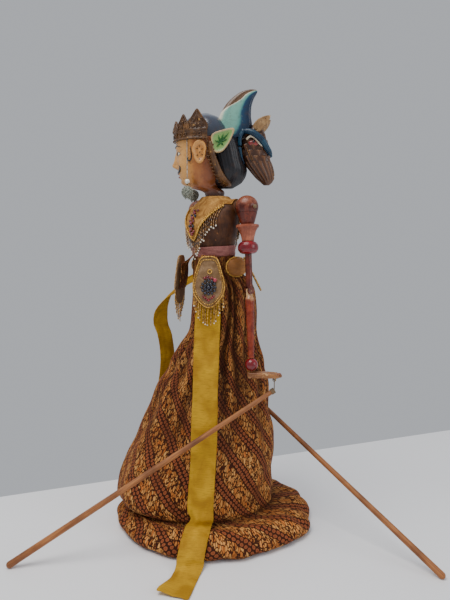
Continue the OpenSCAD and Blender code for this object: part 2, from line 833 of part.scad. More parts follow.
elbow_pin(RIGHT);  // elbow_pin_right
forearm(RIGHT);  // forearm_right
wrist_peg(RIGHT);  // wrist_peg_right
wrist_bead(RIGHT);  // wrist_bead_right
hand(RIGHT);  // hand_right
hand_staple(RIGHT);  // hand_staple_right
rod_tie(RIGHT);  // rod_tie_right
hand_rod(RIGHT);  // hand_rod_right
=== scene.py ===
"""Looks of the wayang golek rod puppet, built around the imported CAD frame.

Lengths in the tables below are in millimetres, as in the part's source, and become metres
where a piece is built. The head's pieces are drawn in the head's own frame, where the face
looks along -Y, and the skirt and scarves in the drape frame, turned 55 degrees about Z.
"""

import math
import random

import bpy
from mathutils import Matrix, Vector, noise


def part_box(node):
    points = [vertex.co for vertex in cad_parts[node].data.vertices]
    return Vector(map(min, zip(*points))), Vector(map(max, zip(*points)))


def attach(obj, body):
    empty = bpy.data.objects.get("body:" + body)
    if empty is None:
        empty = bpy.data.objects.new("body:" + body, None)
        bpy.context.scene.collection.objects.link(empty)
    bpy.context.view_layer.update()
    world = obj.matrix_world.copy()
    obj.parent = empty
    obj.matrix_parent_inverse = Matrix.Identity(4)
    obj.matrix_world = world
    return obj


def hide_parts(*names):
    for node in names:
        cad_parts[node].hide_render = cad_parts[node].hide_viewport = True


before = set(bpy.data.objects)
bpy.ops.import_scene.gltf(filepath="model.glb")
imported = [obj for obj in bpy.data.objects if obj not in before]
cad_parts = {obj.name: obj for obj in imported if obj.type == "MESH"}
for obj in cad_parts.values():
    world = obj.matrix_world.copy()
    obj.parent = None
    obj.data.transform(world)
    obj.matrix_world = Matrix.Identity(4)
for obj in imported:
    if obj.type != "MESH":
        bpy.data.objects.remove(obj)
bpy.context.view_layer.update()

MM = 0.001
LEFT, RIGHT = 1, -1
SIDES = ((LEFT, "left"), (RIGHT, "right"))
DRAPE_TURN, HEAD_TURN = 55, -40
UP = Vector((0, 0, 1))


# --- Small maths -------------------------------------------------------------------------------
def turned(degrees, axis):
    return Matrix.Rotation(math.radians(degrees), 4, axis)


def moved(x, y, z):
    """A frame with its origin at a place given in millimetres."""
    return Matrix.Translation(Vector((x, y, z)) * MM)


DRAPE, HEAD = turned(DRAPE_TURN, "Z"), turned(HEAD_TURN, "Z")


def tone(red, green, blue):
    """A screen colour from 0 to 255 as the linear colour that shaders use."""
    parts = (c / 255 for c in (red, green, blue))
    return (*((c / 12.92 if c < 0.04 else ((c + 0.055) / 1.055) ** 2.4) for c in parts), 1)


def dimmed(colour, share):
    """A linear colour made darker, or lighter where share is over 1."""
    return (*(min(1, c * share) for c in colour[:3]), 1)


def ease(low, high, x):
    """0 below low, 1 above high, and smooth between them."""
    t = min(1, max(0, (x - low) / (high - low)))
    return t * t * (3 - 2 * t)


def hump(x, centre, width):
    return math.exp(-(((x - centre) / width) ** 2))


def boxy(value, power):
    """A sine or cosine bent so that its circle becomes squarer, as power falls from 1 to 0."""
    return math.copysign(abs(value) ** power, value)


def bumps(x, y, z):
    """Smooth noise from -1 to 1 at a place, the same on each run."""
    return noise.noise(Vector((x, y, z)))


def turns(count, start=0.0):
    """Angles spaced evenly round a full turn."""
    return [start + 2 * math.pi * i / count for i in range(count)]


def fractions(count):
    """count numbers spaced evenly from 0 to 1."""
    return [k / (count - 1) for k in range(count)]


def swelling(count, thin, more, first=0.1, share=0.8):
    """Radii of a brush stroke that is thin at its ends and swells between them."""
    return [thin + more * math.sin(math.pi * (first + share * s)) for s in fractions(count)]


def sample(rows, x):
    """A smooth curve through rows, read at x: each row is (x, values...), with x rising."""
    x = min(max(x, rows[0][0]), rows[-1][0])
    i = max(k for k in range(len(rows) - 1) if rows[k][0] <= x)
    a, b = rows[i], rows[i + 1]
    before, after = rows[max(i - 1, 0)], rows[min(i + 2, len(rows) - 1)]
    step = b[0] - a[0]
    t = (x - a[0]) / step
    out = []
    for k in range(1, len(a)):
        start = (b[k] - before[k]) / (b[0] - before[0]) * step
        end = (after[k] - a[k]) / (after[0] - a[0]) * step
        out.append(
            (2 * t**3 - 3 * t**2 + 1) * a[k] + (t**3 - 2 * t**2 + t) * start
            + (3 * t**2 - 2 * t**3) * b[k] + (t**3 - t**2) * end
        )
    return out


def along(path, count):
    """count points on a smooth line through path."""
    rows = [(i, *p) for i, p in enumerate(path)]
    return [Vector(sample(rows, (len(path) - 1) * k / (count - 1))) for k in range(count)]


def mirrored(side, path, count):
    """The same for a path drawn on the left, put on the side asked for."""
    return along([(side * x, y, z) for x, y, z in path], count)


def spaced(path, gap):
    """Points on the straight-sided line path, gap apart."""
    path = [Vector(p) for p in path]
    out, left = [path[0]], gap
    for a, b in zip(path, path[1:]):
        long, done = (b - a).length, 0
        while long - done >= left:
            done += left
            out.append(a.lerp(b, done / long))
            left = gap
        left -= long - done
    return out


# --- Materials ---------------------------------------------------------------------------------
class Paint:
    """A material being made: each call adds one shader node and gives back its output."""

    def __init__(self, name, **sockets):
        self.material = bpy.data.materials.new(name)
        self.material.use_nodes = True
        self.tree = self.material.node_tree
        self.shader = next(n for n in self.tree.nodes if n.type == "BSDF_PRINCIPLED")
        for socket, value in sockets.items():
            self.shader.inputs[socket.replace("_", " ")].default_value = value
        self.where = self.add("TexCoord", {}, 3)  # the object's own coordinates

    def add(self, kind, inputs, output=0, **settings):
        node = self.tree.nodes.new("ShaderNode" + kind)
        for name, value in settings.items():
            setattr(node, name, value)
        for name, value in inputs.items():
            if isinstance(value, bpy.types.NodeSocket):
                self.tree.links.new(value, node.inputs[name])
            else:
                node.inputs[name].default_value = value
        return node.outputs[output]

    def noise(self, size, detail=3, where=None, twist=0.0):
        """Noise with blobs of about size, in millimetres."""
        return self.add("TexNoise", {
            "Vector": where or self.where, "Scale": 1 / (size * MM), "Detail": detail,
            "Distortion": twist,
        })

    def cells(self, size, where, output=0, feature="F1"):
        """Cells of about size: distances as output 0 and a colour for each cell as output 1."""
        return self.add("TexVoronoi", {
            "Vector": where, "Scale": 1 / (size * MM), "Randomness": 0.9,
        }, output, feature=feature)

    def grain(self, axis, stretch):
        """Coordinates squeezed along axis, so that noise on them runs in streaks that way."""
        axis = Vector(axis).normalized()
        share = self.add("VectorMath", {0: self.where, 1: axis}, 1, operation="DOT_PRODUCT")
        line = self.add("VectorMath", {0: axis * (1 - 1 / stretch), 3: share}, operation="SCALE")
        return self.add("VectorMath", {0: self.where, 1: line}, operation="SUBTRACT")

    def maths(self, operation, a, b=0.0, c=0.0):
        return self.add("Math", {0: a, 1: b, 2: c}, operation=operation)

    def step(self, value, low, high):
        """0 where value is under low and 1 over high."""
        return self.add("MapRange", {0: value, 1: low, 2: high, 3: 0.0, 4: 1.0})

    def ramp(self, value, *stops):
        node = self.tree.nodes.new("ShaderNodeValToRGB")
        while len(node.color_ramp.elements) < len(stops):
            node.color_ramp.elements.new(0.5)
        for element, (place, colour) in zip(node.color_ramp.elements, stops):
            element.position, element.color = place, colour
        self.tree.links.new(value, node.inputs[0])
        return node.outputs[0]

    def mix(self, share, a, b):
        return self.add("Mix", {0: share, 6: a, 7: b}, 2, data_type="RGBA")

    def marked(self, name):
        """A vector that code stored on the mesh's points."""
        return self.add("Attribute", {}, 1, attribute_name=name)

    def axis(self, vector, part):
        """One number of a vector: 0 is x, 1 is y and 2 is z."""
        return self.add("SeparateXYZ", {0: vector}, part)

    def finish(self, colour, rough=(0.4, 0.6), rough_by=None, height=None, deep=0.3):
        """Links the colour, a roughness range and a bump that is deep millimetres high."""
        link = self.tree.links.new
        link(colour, self.shader.inputs["Base Color"])
        spread = self.add("MapRange", {
            0: rough_by or self.noise(9), 1: 0.3, 2: 0.7, 3: rough[0], 4: rough[1],
        })
        link(spread, self.shader.inputs["Roughness"])
        bump = self.add("Bump", {
            "Strength": 1.0, "Distance": deep * MM, "Height": height or self.noise(0.8),
        })
        link(bump, self.shader.inputs["Normal"])
        return self.material


def painted_wood(name, low, high, worn, axis=(0, 0, 1), wear=0.62, rough=(0.3, 0.55), coat=0.15):
    """Old glossy paint on carved wood: brush streaks, blotches, and chips down to worn."""
    p = Paint(name, Coat_Weight=coat, Coat_Roughness=0.25, Specular_IOR_Level=0.35)
    streaks = p.noise(1.6, 5, p.grain(axis, 9))
    blotches = p.noise(14, 4, twist=0.6)
    base = p.mix(p.step(blotches, 0.35, 0.65), low, high)
    dark = p.mix(p.step(streaks, 0.45, 0.8), base, dimmed(low, 0.62))
    chips = p.step(p.noise(5.5, 8), wear, wear + 0.035)
    fine = p.step(p.noise(1.4, 4), wear + 0.03, wear + 0.08)
    colour = p.mix(p.maths("MAXIMUM", chips, fine), dark, worn)
    height = p.maths("SUBTRACT", streaks, p.maths("MULTIPLY", chips, 1.4))
    return p.finish(colour, rough, p.noise(4, 5), height, 0.18)


def bare_wood(name, low, high, axis=(0, 0, 1), rough=(0.45, 0.7)):
    """Straight-grained wood with pores and darker growth lines along axis."""
    p = Paint(name)
    where = p.grain(axis, 22)
    lines, pores = p.noise(1.5, 6, where, 0.4), p.noise(0.45, 3, where)
    stain = p.noise(28, 3)
    base = p.mix(p.step(lines, 0.35, 0.68), low, high)
    dim = p.mix(p.step(stain, 0.4, 0.75), base, dimmed(low, 0.55))
    colour = p.mix(p.step(pores, 0.62, 0.75), dim, dimmed(low, 0.35))
    return p.finish(colour, rough, lines, p.maths("ADD", lines, pores), 0.2)


def woven(name, low, high, thread=0.55, sheen=0.4, rough=(0.7, 0.9)):
    """Plain weave on the cloth's own coordinates, with slubs and faded patches."""
    p = Paint(name, Sheen_Weight=sheen, Sheen_Roughness=0.4, Sheen_Tint=high, Specular_IOR_Level=0.25)
    cloth = p.marked("cloth")
    wave = 0.314  # a wave texture of scale 1 repeats about every 0.314
    ways = [
        p.add("TexWave", {"Vector": cloth, "Scale": wave / (thread * MM), "Distortion": 0.6,
                          "Detail": 1.0, "Detail Scale": 0.4}, 1, bands_direction=way)
        for way in "XY"
    ]
    weave = p.maths("MULTIPLY", *ways)
    slub = p.noise(1.1, 3, p.add("VectorMath", {0: cloth, 1: (0.12, 1, 1)}, operation="MULTIPLY"))
    faded = p.noise(26, 4, cloth, 0.5)
    base = p.mix(p.step(faded, 0.36, 0.66), low, high)
    threads = p.mix(p.step(slub, 0.5, 0.85), base, dimmed(low, 0.66))
    colour = p.mix(p.maths("MULTIPLY", weave, 0.3), threads, dimmed(high, 1.3))
    return p.finish(colour, rough, faded, p.maths("ADD", weave, slub), 0.12)


def velvet(name, low, high):
    """Worn pile: soft sheen, brushed patches and bald dark spots."""
    p = Paint(name, Sheen_Weight=0.6, Sheen_Roughness=0.35, Sheen_Tint=high, Specular_IOR_Level=0.15)
    pile, patches = p.noise(0.5, 2), p.noise(11, 5, twist=0.8)
    base = p.mix(p.step(patches, 0.36, 0.64), low, high)
    colour = p.mix(p.step(pile, 0.45, 0.8), base, dimmed(low, 0.5))
    return p.finish(colour, (0.75, 0.95), patches, pile, 0.35)


def glossy(name, low, high, rough=(0.08, 0.25), metal=0.0, size=3.0):
    """Glass, lacquered or metal beads, tinted from one to the next."""
    p = Paint(name, Metallic=metal, Coat_Weight=0.0 if metal else 0.6, Coat_Roughness=0.1)
    colour = p.mix(p.step(p.noise(size, 2), 0.38, 0.62), low, high)
    return p.finish(colour, rough, p.noise(size), p.noise(0.6, 2), 0.05)


# The batik's pattern, in metres: how far apart its bands are, how far each row of dots is from
# its band's middle, the gap between dots and where the band's rim fades out
BAND_GAP, DOT_ROW, DOT_GAP, DOT_SHIFT, BAND_RIM = 0.034, 0.0031, 0.0058, 0.0014, (0.0072, 0.0064)
BAND_SLANT = -44
MOTIF = 2.9  # the size of one motif, in millimetres


def batik():
    """Diagonal bands of paired dots over a ground of small curled motifs."""
    p = Paint("batik_cloth", Sheen_Weight=0.12, Sheen_Roughness=0.5, Sheen_Tint=tone(220, 150, 90),
              Specular_IOR_Level=0.15)
    cloth = p.marked("cloth")
    shaky = p.add("TexNoise", {"Vector": cloth, "Scale": 120.0, "Detail": 2.0}, 1)
    wander = p.add("VectorMath", {0: shaky, 1: (0.5, 0.5, 0.5)}, operation="SUBTRACT")
    wander = p.add("VectorMath", {0: wander, 3: 0.0035}, operation="SCALE")
    drawn = p.add("VectorMath", {0: cloth, 1: wander}, operation="ADD")
    slanted = p.add("VectorRotate", {0: drawn, 3: math.radians(BAND_SLANT)}, rotation_type="Z_AXIS")
    run, across = p.axis(slanted, 0), p.axis(slanted, 1)
    band = p.maths("SUBTRACT", p.maths("WRAP", across, BAND_GAP, 0.0), BAND_GAP / 2)
    row = p.maths("SUBTRACT", p.maths("ABSOLUTE", band), DOT_ROW)
    shift = p.maths("MULTIPLY", p.maths("SIGN", band), DOT_SHIFT)
    bead = p.maths("SUBTRACT", p.maths("WRAP", p.maths("ADD", run, shift), DOT_GAP, 0.0), DOT_GAP / 2)
    row, bead = p.maths("MULTIPLY", row, row), p.maths("MULTIPLY", bead, bead)
    far = p.maths("SQRT", p.maths("ADD", row, bead))
    dark, maroon = tone(50, 22, 12), tone(124, 60, 36)
    tan, ochre, cream = tone(200, 132, 66), tone(182, 102, 42), tone(216, 158, 90)
    dots = p.ramp(p.maths("MULTIPLY", far, 250.0), (0.0, maroon), (0.4, tone(140, 74, 44)),
                  (0.5, tone(164, 98, 58)), (0.56, tone(110, 54, 32)), (0.62, dark))
    squeezed = p.add("VectorMath", {0: drawn, 1: (1.0, 0.36, 1.0)}, operation="MULTIPLY")
    curl = p.add("TexNoise", {"Vector": squeezed, "Scale": 260.0, "Detail": 1.5, "Distortion": 1.6})
    edge = p.cells(MOTIF, squeezed, feature="DISTANCE_TO_EDGE")
    shade = p.cells(MOTIF, squeezed, output=1)
    lively = p.add("SeparateColor", {0: shade}, 0)
    ground = p.ramp(lively, (0.0, ochre), (0.35, tan), (0.7, cream), (1.0, tone(196, 108, 46)))
    lined = p.mix(p.step(edge, 0.13, 0.06), ground, dark)
    motif = p.mix(p.step(curl, 0.57, 0.6), lined, tone(62, 26, 12))
    rim = p.step(p.maths("ABSOLUTE", band), *BAND_RIM)
    colour = p.mix(rim, motif, dots)
    faded = p.noise(45, 4, cloth, 0.4)
    colour = p.mix(p.maths("MULTIPLY", p.step(faded, 0.5, 0.72), 0.45), colour, tone(84, 46, 30))
    # Painted shade: the fold mark darkens the cloth in its pleats, under the belt and in the crease onto
    # the train
    shaded = p.maths("MULTIPLY", p.axis(p.marked("fold"), 0), 0.8)
    colour = p.mix(shaded, colour, tone(40, 18, 10))
    weave = p.noise(0.5, 2, cloth)
    return p.finish(colour, (0.72, 0.92), faded, weave, 0.15)


def tinted(name, stops, rough=(0.3, 0.5), coat=0.3, wear=None):
    """Paint whose colour follows a value stored on the mesh, with streaks, specks and wear."""
    p = Paint(name, Coat_Weight=coat, Coat_Roughness=0.2, Specular_IOR_Level=0.35)
    value = p.axis(p.marked("tint"), 0)
    wobble = p.maths("MULTIPLY", p.maths("SUBTRACT", p.noise(5, 4), 0.5), 0.12)
    colour = p.ramp(p.maths("ADD", value, wobble), *stops)
    dirt = p.step(p.noise(7, 6, twist=0.8), 0.52, 0.8)
    colour = p.mix(p.maths("MULTIPLY", dirt, 0.55), colour, tone(70, 42, 24))
    fine = p.noise(1.2, 4)
    if wear:
        colour = p.mix(p.step(p.noise(3, 7), 0.66, 0.7), colour, wear)
    return p.finish(colour, rough, p.noise(5), fine, 0.14)


mats = {
    "stand": bare_wood("stand_timber", tone(110, 74, 46), tone(150, 106, 68), (1, 0, 0)),
    "socket": bare_wood("socket_timber", tone(120, 84, 52), tone(160, 116, 76)),
    "pole": bare_wood("pole_timber", tone(150, 112, 72), tone(190, 150, 104)),
    "torso": painted_wood("torso_lacquer", tone(58, 28, 10), tone(94, 54, 22), tone(128, 78, 38), wear=0.7,
                          rough=(0.5, 0.7), coat=0.0),
    "velvet": velvet("collar_velvet", tone(146, 98, 44), tone(206, 154, 84)),
    "plush": velvet("flap_velvet", tone(122, 92, 62), tone(164, 132, 98)),
    "gold": glossy("gold_beads", tone(158, 108, 36), tone(240, 190, 92), (0.25, 0.45), 0.45, 2.0),
    "bugle": glossy("bugle_glass", tone(60, 34, 14), tone(176, 126, 64), (0.1, 0.3), 0.0, 3.5),
    "seed": glossy("seed_pearl", tone(212, 200, 176), tone(240, 232, 214), (0.2, 0.35)),
    "gem": glossy("red_glass", tone(70, 10, 16), tone(150, 24, 34), (0.05, 0.2)),
    "navy": glossy("navy_glass", tone(6, 6, 14), tone(22, 24, 50), (0.08, 0.25)),
    "rose": glossy("rose_glass", tone(150, 30, 50), tone(196, 70, 86), (0.08, 0.25)),
    "satin": woven("belt_satin", tone(140, 82, 78), tone(176, 116, 106), 0.3, 0.6, (0.35, 0.6)),
    "brown_satin": woven("boss_satin", tone(110, 66, 28), tone(168, 112, 56), 0.3, 0.6, (0.35, 0.6)),
    "olive": woven("olive_cloth", tone(58, 50, 24), tone(104, 88, 48), 0.5, 0.4),
    "scarf": woven("scarf_cotton", tone(158, 112, 12), tone(202, 156, 34), 0.6, 0.2),
    "batik": batik(),
    "cord": woven("cord_cotton", tone(104, 84, 62), tone(140, 118, 90), 0.4),
    "wire": glossy("brass_wire", tone(120, 92, 48), tone(180, 146, 84), (0.3, 0.5), 0.9, 2.0),
    "thread": glossy("silver_thread", tone(120, 120, 112), tone(196, 194, 182), (0.3, 0.5), 0.4),
    "pearl": glossy("pearl_bead", tone(214, 204, 186), tone(244, 238, 226), (0.12, 0.3)),
    "tassel": glossy("tassel_glass", tone(84, 88, 78), tone(170, 172, 156), (0.15, 0.35), 0.1, 1.6),
    "lacquer": painted_wood("crimson_lacquer", tone(104, 4, 16), tone(150, 14, 30), tone(84, 30, 24),
                            wear=0.72, rough=(0.12, 0.3), coat=0.6),
    "cuff": painted_wood("cuff_paint", tone(142, 70, 46), tone(184, 106, 76), tone(198, 140, 104),
                         wear=0.68),
    "peg": bare_wood("peg_timber", tone(176, 130, 86), tone(214, 172, 124)),
    # Painted highlight: the cap's colour runs from dark at its rim to light at its top
    "cap": tinted("cap_paint", (
        (0.0, tone(30, 32, 38)), (0.5, tone(54, 62, 78)), (1.0, tone(96, 108, 130)),
    ), rough=(0.12, 0.3), coat=0.7),
    "black": tinted("hair_paint", ((0.0, tone(8, 8, 11)), (1.0, tone(30, 28, 34))), coat=0.12),
    "bronze": painted_wood("carved_bronze", tone(66, 40, 20), tone(118, 80, 42), tone(166, 122, 64),
                           wear=0.64),
    "white": glossy("eye_white", tone(226, 214, 190), tone(240, 232, 214), (0.2, 0.35)),
    "ink": glossy("ink_paint", tone(12, 10, 10), tone(34, 26, 24), (0.2, 0.4)),
    "lip": glossy("lip_paint", tone(120, 26, 24), tone(150, 44, 36), (0.3, 0.45)),
    "cream": painted_wood("cream_paint", tone(196, 184, 156), tone(222, 212, 188), tone(140, 110, 76),
                          wear=0.63),
    "tan": painted_wood("tan_paint", tone(140, 104, 66), tone(176, 140, 96), tone(90, 62, 40), wear=0.63),
    "blue": painted_wood("deep_blue_paint", tone(10, 34, 60), tone(20, 66, 88), tone(50, 44, 40),
                         wear=0.66),
    "green": painted_wood("leaf_green_paint", tone(18, 82, 26), tone(46, 120, 40), tone(90, 110, 60),
                          wear=0.68),
    # From the brow and cheeks, through the neck, to the back of the head; the darker tints on the neck and
    # in the ears' hollows are painted shade
    "face": tinted("face_paint", (
        (0.0, tone(216, 158, 88)), (0.42, tone(196, 130, 62)), (0.55, tone(148, 80, 34)),
        (0.8, tone(100, 52, 26)), (1.0, tone(64, 34, 18)),
    ), rough=(0.28, 0.45), wear=tone(150, 96, 54)),
    # From the bare front rim, through cream and teal, to the deep blue back
    "crescent": tinted("crescent_paint", (
        (0.0, tone(92, 66, 46)), (0.2, tone(104, 76, 52)), (0.23, tone(226, 218, 198)),
        (0.34, tone(206, 208, 186)), (0.42, tone(122, 176, 158)), (0.6, tone(88, 146, 138)),
        (0.72, tone(16, 60, 90)), (1.0, tone(10, 36, 62)),
    ), rough=(0.25, 0.45), wear=tone(120, 130, 110)),
    "leaf": tinted("leaf_paint", (
        (0.0, tone(120, 160, 84)), (0.6, tone(150, 178, 110)), (0.7, tone(196, 176, 130)),
        (1.0, tone(170, 140, 96)),
    )),
    "beak": tinted("beak_paint", (
        (0.0, tone(34, 18, 10)), (0.45, tone(76, 44, 24)), (1.0, tone(124, 80, 44)),
    ), wear=tone(140, 106, 70)),
}


# --- Meshes ------------------------------------------------------------------------------------
class Form:
    """Points and faces of one piece, in millimetres, in a frame of its own."""

    def __init__(self, place=Matrix.Identity(4)):
        self.place, self.points, self.faces, self.paints = place, [], [], []
        self.marks = {}

    def face(self, corners, paint):
        self.faces.append(corners)
        self.paints.append(paint)

    def cloth(self, values):
        """Gives the points made so far their places on the flat cloth, in metres."""
        self.marks["cloth"] = list(values)

    def tint(self, values, name="tint"):
        """Gives the points made so far one number each, for a material to read."""
        self.marks.setdefault(name, []).extend((value, 0, 0) for value in values)

    def grid(self, rows, around=False, ends=(False, False), paint=0):
        """A sheet through rows of points, closed round each row if around."""
        start, n = len(self.points), len(rows[0])
        for row in rows:
            self.points += [Vector(p) for p in row]
        for j in range(len(rows) - 1):
            for i in range(n if around else n - 1):
                a, b = start + j * n + i, start + j * n + (i + 1) % n
                self.face((a, b, b + n, a + n), paint)
        for end, first in ((0, start), (1, start + (len(rows) - 1) * n)):
            if ends[end]:
                ring = list(range(first, first + n))
                middle = sum((self.points[k] for k in ring), Vector()) / n
                self.points.append(middle)
                for k in range(n):
                    pair = (ring[k], ring[(k + 1) % n])
                    self.face((*(pair if end else pair[::-1]), len(self.points) - 1), paint)
        return self

    def ball(self, centre, size, paint=0, n=10):
        """An ellipsoid; size is its radius or its three half sizes."""
        size = Vector(size if hasattr(size, "__len__") else (size,) * 3)
        rows = []
        for j in range(1, n // 2 + 1):
            tall = math.pi * j / (n // 2 + 1)
            rows.append([
                Vector(centre) + Vector((size.x * math.sin(tall) * math.cos(turn),
                                         size.y * math.sin(tall) * math.sin(turn),
                                         -size.z * math.cos(tall)))
                for turn in (2 * math.pi * i / n for i in range(n))
            ])
        first = len(self.points)
        self.grid(rows, True, (True, True), paint)
        self.points[first + len(rows) * n] = Vector(centre) - Vector((0, 0, size.z))
        self.points[first + len(rows) * n + 1] = Vector(centre) + Vector((0, 0, size.z))
        return self

    def tube(self, path, radii, n=8, paint=0, flat=1.0, up=(0, 0, 1)):
        """A round or flattened bar along path; radii is one radius or one for each point."""
        path = [Vector(p) for p in path]
        radii = radii if hasattr(radii, "__len__") else [radii] * len(path)
        rows = []
        for i, p in enumerate(path):
            way = (path[min(i + 1, len(path) - 1)] - path[max(i - 1, 0)]).normalized()
            side = way.cross(Vector(up))
            side = side.normalized() if side.length > 0.05 else way.orthogonal().normalized()
            lift = side.cross(way)
            rows.append([
                p + radii[i] * (side * math.cos(t) + lift * math.sin(t) * flat)
                for t in (2 * math.pi * k / n for k in range(n))
            ])
        return self.grid(rows, True, (True, True), paint)

    def slab(self, outline, layers, centre=None, paint=0):
        """A carved plate: layers are (scale, height) rings of the outline from back to front."""
        outline = [Vector((*p, 0)) for p in outline]
        middle = Vector((*centre, 0)) if centre else sum(outline, Vector()) / len(outline)
        rows = [[middle + (p - middle) * scale + Vector((0, 0, height)) for p in outline]
                for scale, height in layers]
        return self.grid(rows, True, (True, True), paint)

    def join(self, part, place):
        """Adds another form's points and faces, moved to place."""
        start = len(self.points)
        self.points += [place @ p for p in part.points]
        for corners in part.faces:
            self.face(tuple(start + corner for corner in corners), 0)

    def build(self, name, body, materials, slot, replaces="", level=0, thick=0.0):
        """Makes the piece and rides it on its body; level subdivides it and thick is in mm."""
        mesh = bpy.data.meshes.new(name)
        mesh.from_pydata([self.place @ (p * MM) for p in self.points], [], self.faces)
        for mark, values in self.marks.items():
            values = values + [(0, 0, 0)] * (len(self.points) - len(values))
            layer = mesh.attributes.new(mark, "FLOAT_VECTOR", "POINT")
            layer.data.foreach_set("vector", [x for v in values for x in v])
        for material in materials.split():
            mesh.materials.append(mats[material])
        mesh.polygons.foreach_set("material_index", self.paints)
        mesh.update()
        mesh.shade_smooth()
        obj = bpy.data.objects.new(name, mesh)
        bpy.context.scene.collection.objects.link(obj)
        if thick:
            shell = obj.modifiers.new("Thickness", "SOLIDIFY")
            shell.thickness, shell.offset = thick * MM, 0
        if level:
            smooth = obj.modifiers.new("Smooth", "SUBSURF")
            smooth.levels = smooth.render_levels = level
        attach(obj, body)
        if replaces:
            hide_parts(*replaces.split())
        return obj


# --- Camera, floor and light -------------------------------------------------------------------
RIGHTWARDS, TOWARDS = Vector((0.5736, 0.8192, 0)), Vector((0.8192, -0.5736, 0))


def from_camera(right, near, up):
    """A point by its place right of the puppet's axis, nearer to the camera, and up (metres)."""
    return RIGHTWARDS * right + TOWARDS * near + Vector((0, 0, up))


def stand_camera():
    camera = bpy.data.objects.new("Camera", bpy.data.cameras.new("Camera"))
    camera.data.sensor_width, camera.data.lens = 36, 34.8
    camera.location = from_camera(0.014, 0.811, 0.399)
    down = math.radians(6)
    look = -TOWARDS * math.cos(down) - Vector((0, 0, math.sin(down)))
    camera.rotation_mode = "QUATERNION"
    camera.rotation_quaternion = look.to_track_quat("-Z", "Y")
    bpy.context.scene.collection.objects.link(camera)
    bpy.context.scene.camera = camera


def lay_floor():
    """A pale table top whose far edge crosses behind the puppet, over a plain grey surround."""
    left, right = from_camera(-0.336, -0.054, 0), from_camera(0.487, -0.372, 0)
    edge = (right - left).normalized()
    wide, deep = 4, 5
    a, b = left - edge * wide, right + edge * wide
    near = Vector((edge.y, -edge.x, 0)) * deep
    mesh = bpy.data.meshes.new("floor")
    mesh.from_pydata([a, b, b + near, a + near], [], [(3, 2, 1, 0)])
    p = Paint("floor_paint")
    colour = p.mix(p.noise(300, 3), tone(246, 247, 250), tone(252, 252, 254))
    mesh.materials.append(p.finish(colour, (0.35, 0.45), None, p.noise(3), 0.05))
    floor = bpy.data.objects.new("floor", mesh)
    bpy.context.scene.collection.objects.link(floor)
    world = bpy.data.worlds.new("surround")
    bpy.context.scene.world = world
    world.use_nodes = True
    sky = world.node_tree.nodes["Background"]
    sky.inputs[0].default_value = tone(182, 185, 190)
    sky.inputs[1].default_value = 1.0


def hang_light(name, place, aim, size, power, colour=(1, 1, 1)):
    data = bpy.data.lights.new(name, "AREA")
    data.size, data.energy, data.color = size, power, colour
    light = bpy.data.objects.new(name, data)
    light.location = place
    light.rotation_mode = "QUATERNION"
    light.rotation_quaternion = (aim - place).to_track_quat("-Z", "Y")
    bpy.context.scene.collection.objects.link(light)


stand_camera()
lay_floor()
MIDDLE = Vector((0, 0, 0.3))
hang_light("ceiling_light", from_camera(-0.5, 0.5, 1.9), MIDDLE, 1.2, 28, (1, 0.97, 0.93))
hang_light("window_light", from_camera(1.6, 0.9, 0.9), MIDDLE, 1.0, 8, (0.95, 0.97, 1))

# --- Ear pendants: a free thread with a pearl and a beaded tassel on it --------------------------
TEMPLE_X, TEMPLE_Y = 28.8, -34
# The heights that each thread passes on its way down to the tassel
THREAD_ROUTE = [529.9, 522, 515, 508, 501, 494, 487, 480, 470.2]
THREAD_WIDE = 1.2
PEARL_Z, PEARL_R, PEARL_CAP = 475.5, 3.4, (1.5, 1.5, 0.9)
TASSEL_Z, TASSEL_CORE, TASSEL_SKIN, TASSEL_BEADS, TASSEL_DROPS = 461.5, 7.2, 7.1, 170, 13
GOLDEN_TURN = math.pi * (3 - math.sqrt(5))


def make_pendant(side, name):
    x, y = side * TEMPLE_X, TEMPLE_Y
    body = f"pendant_{name}"
    curve = bpy.data.curves.new(f"{body}_cord", "CURVE")
    curve.dimensions = "3D"
    curve.bevel_depth, curve.bevel_resolution = THREAD_WIDE / 2 * MM, 3
    curve.use_fill_caps = True
    line = curve.splines.new("POLY")
    line.points.add(len(THREAD_ROUTE) - 1)
    route = [HEAD @ (Vector((x, y, z)) * MM) for z in THREAD_ROUTE]
    for point, place in zip(line.points, route):
        point.co = (*place, 1)
    curve.materials.append(mats["thread"])
    cord = bpy.data.objects.new(f"{body}_cord", curve)
    bpy.context.scene.collection.objects.link(cord)
    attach(cord, body)
    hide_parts(f"pendant_thread_{name}")

    pearl = Form(HEAD).ball((x, y, PEARL_Z), PEARL_R, n=20)
    for height in (479.4, 471.6):
        pearl.ball((x, y, height), PEARL_CAP, 1)
    pearl = pearl.build(f"{body}_pearl", body, "pearl wire", "pearl", f"pendant_bead_{name}")

    rng = random.Random(4 + side)
    middle = Vector((x, y, TASSEL_Z))
    tassel = Form(HEAD).ball(middle, TASSEL_CORE, n=16)
    for k in range(TASSEL_BEADS):
        up = 1 - 2 * (k + 0.5) / TASSEL_BEADS
        turn = k * GOLDEN_TURN
        flat = math.sqrt(1 - up * up)
        way = Vector((flat * math.cos(turn), flat * math.sin(turn), up))
        tassel.ball(middle + way * (TASSEL_SKIN + 0.5 * rng.random()), 0.9, n=6)
    for k in range(TASSEL_DROPS):
        turn, reach = 2.4 * k, 1.2 + 0.3 * k
        spot = Vector((x + reach * math.cos(turn), y + reach * math.sin(turn), TASSEL_Z - 5))
        for drop in range(2 + k % 2):
            tassel.ball(spot - UP * (1.9 * drop), (0.8, 0.8, 1.05), n=6)
    tassel = tassel.build(f"{body}_beads", body, "tassel", "tassel_beads", f"pendant_tassel_{name}")


for side, name in SIDES:
    make_pendant(side, name)

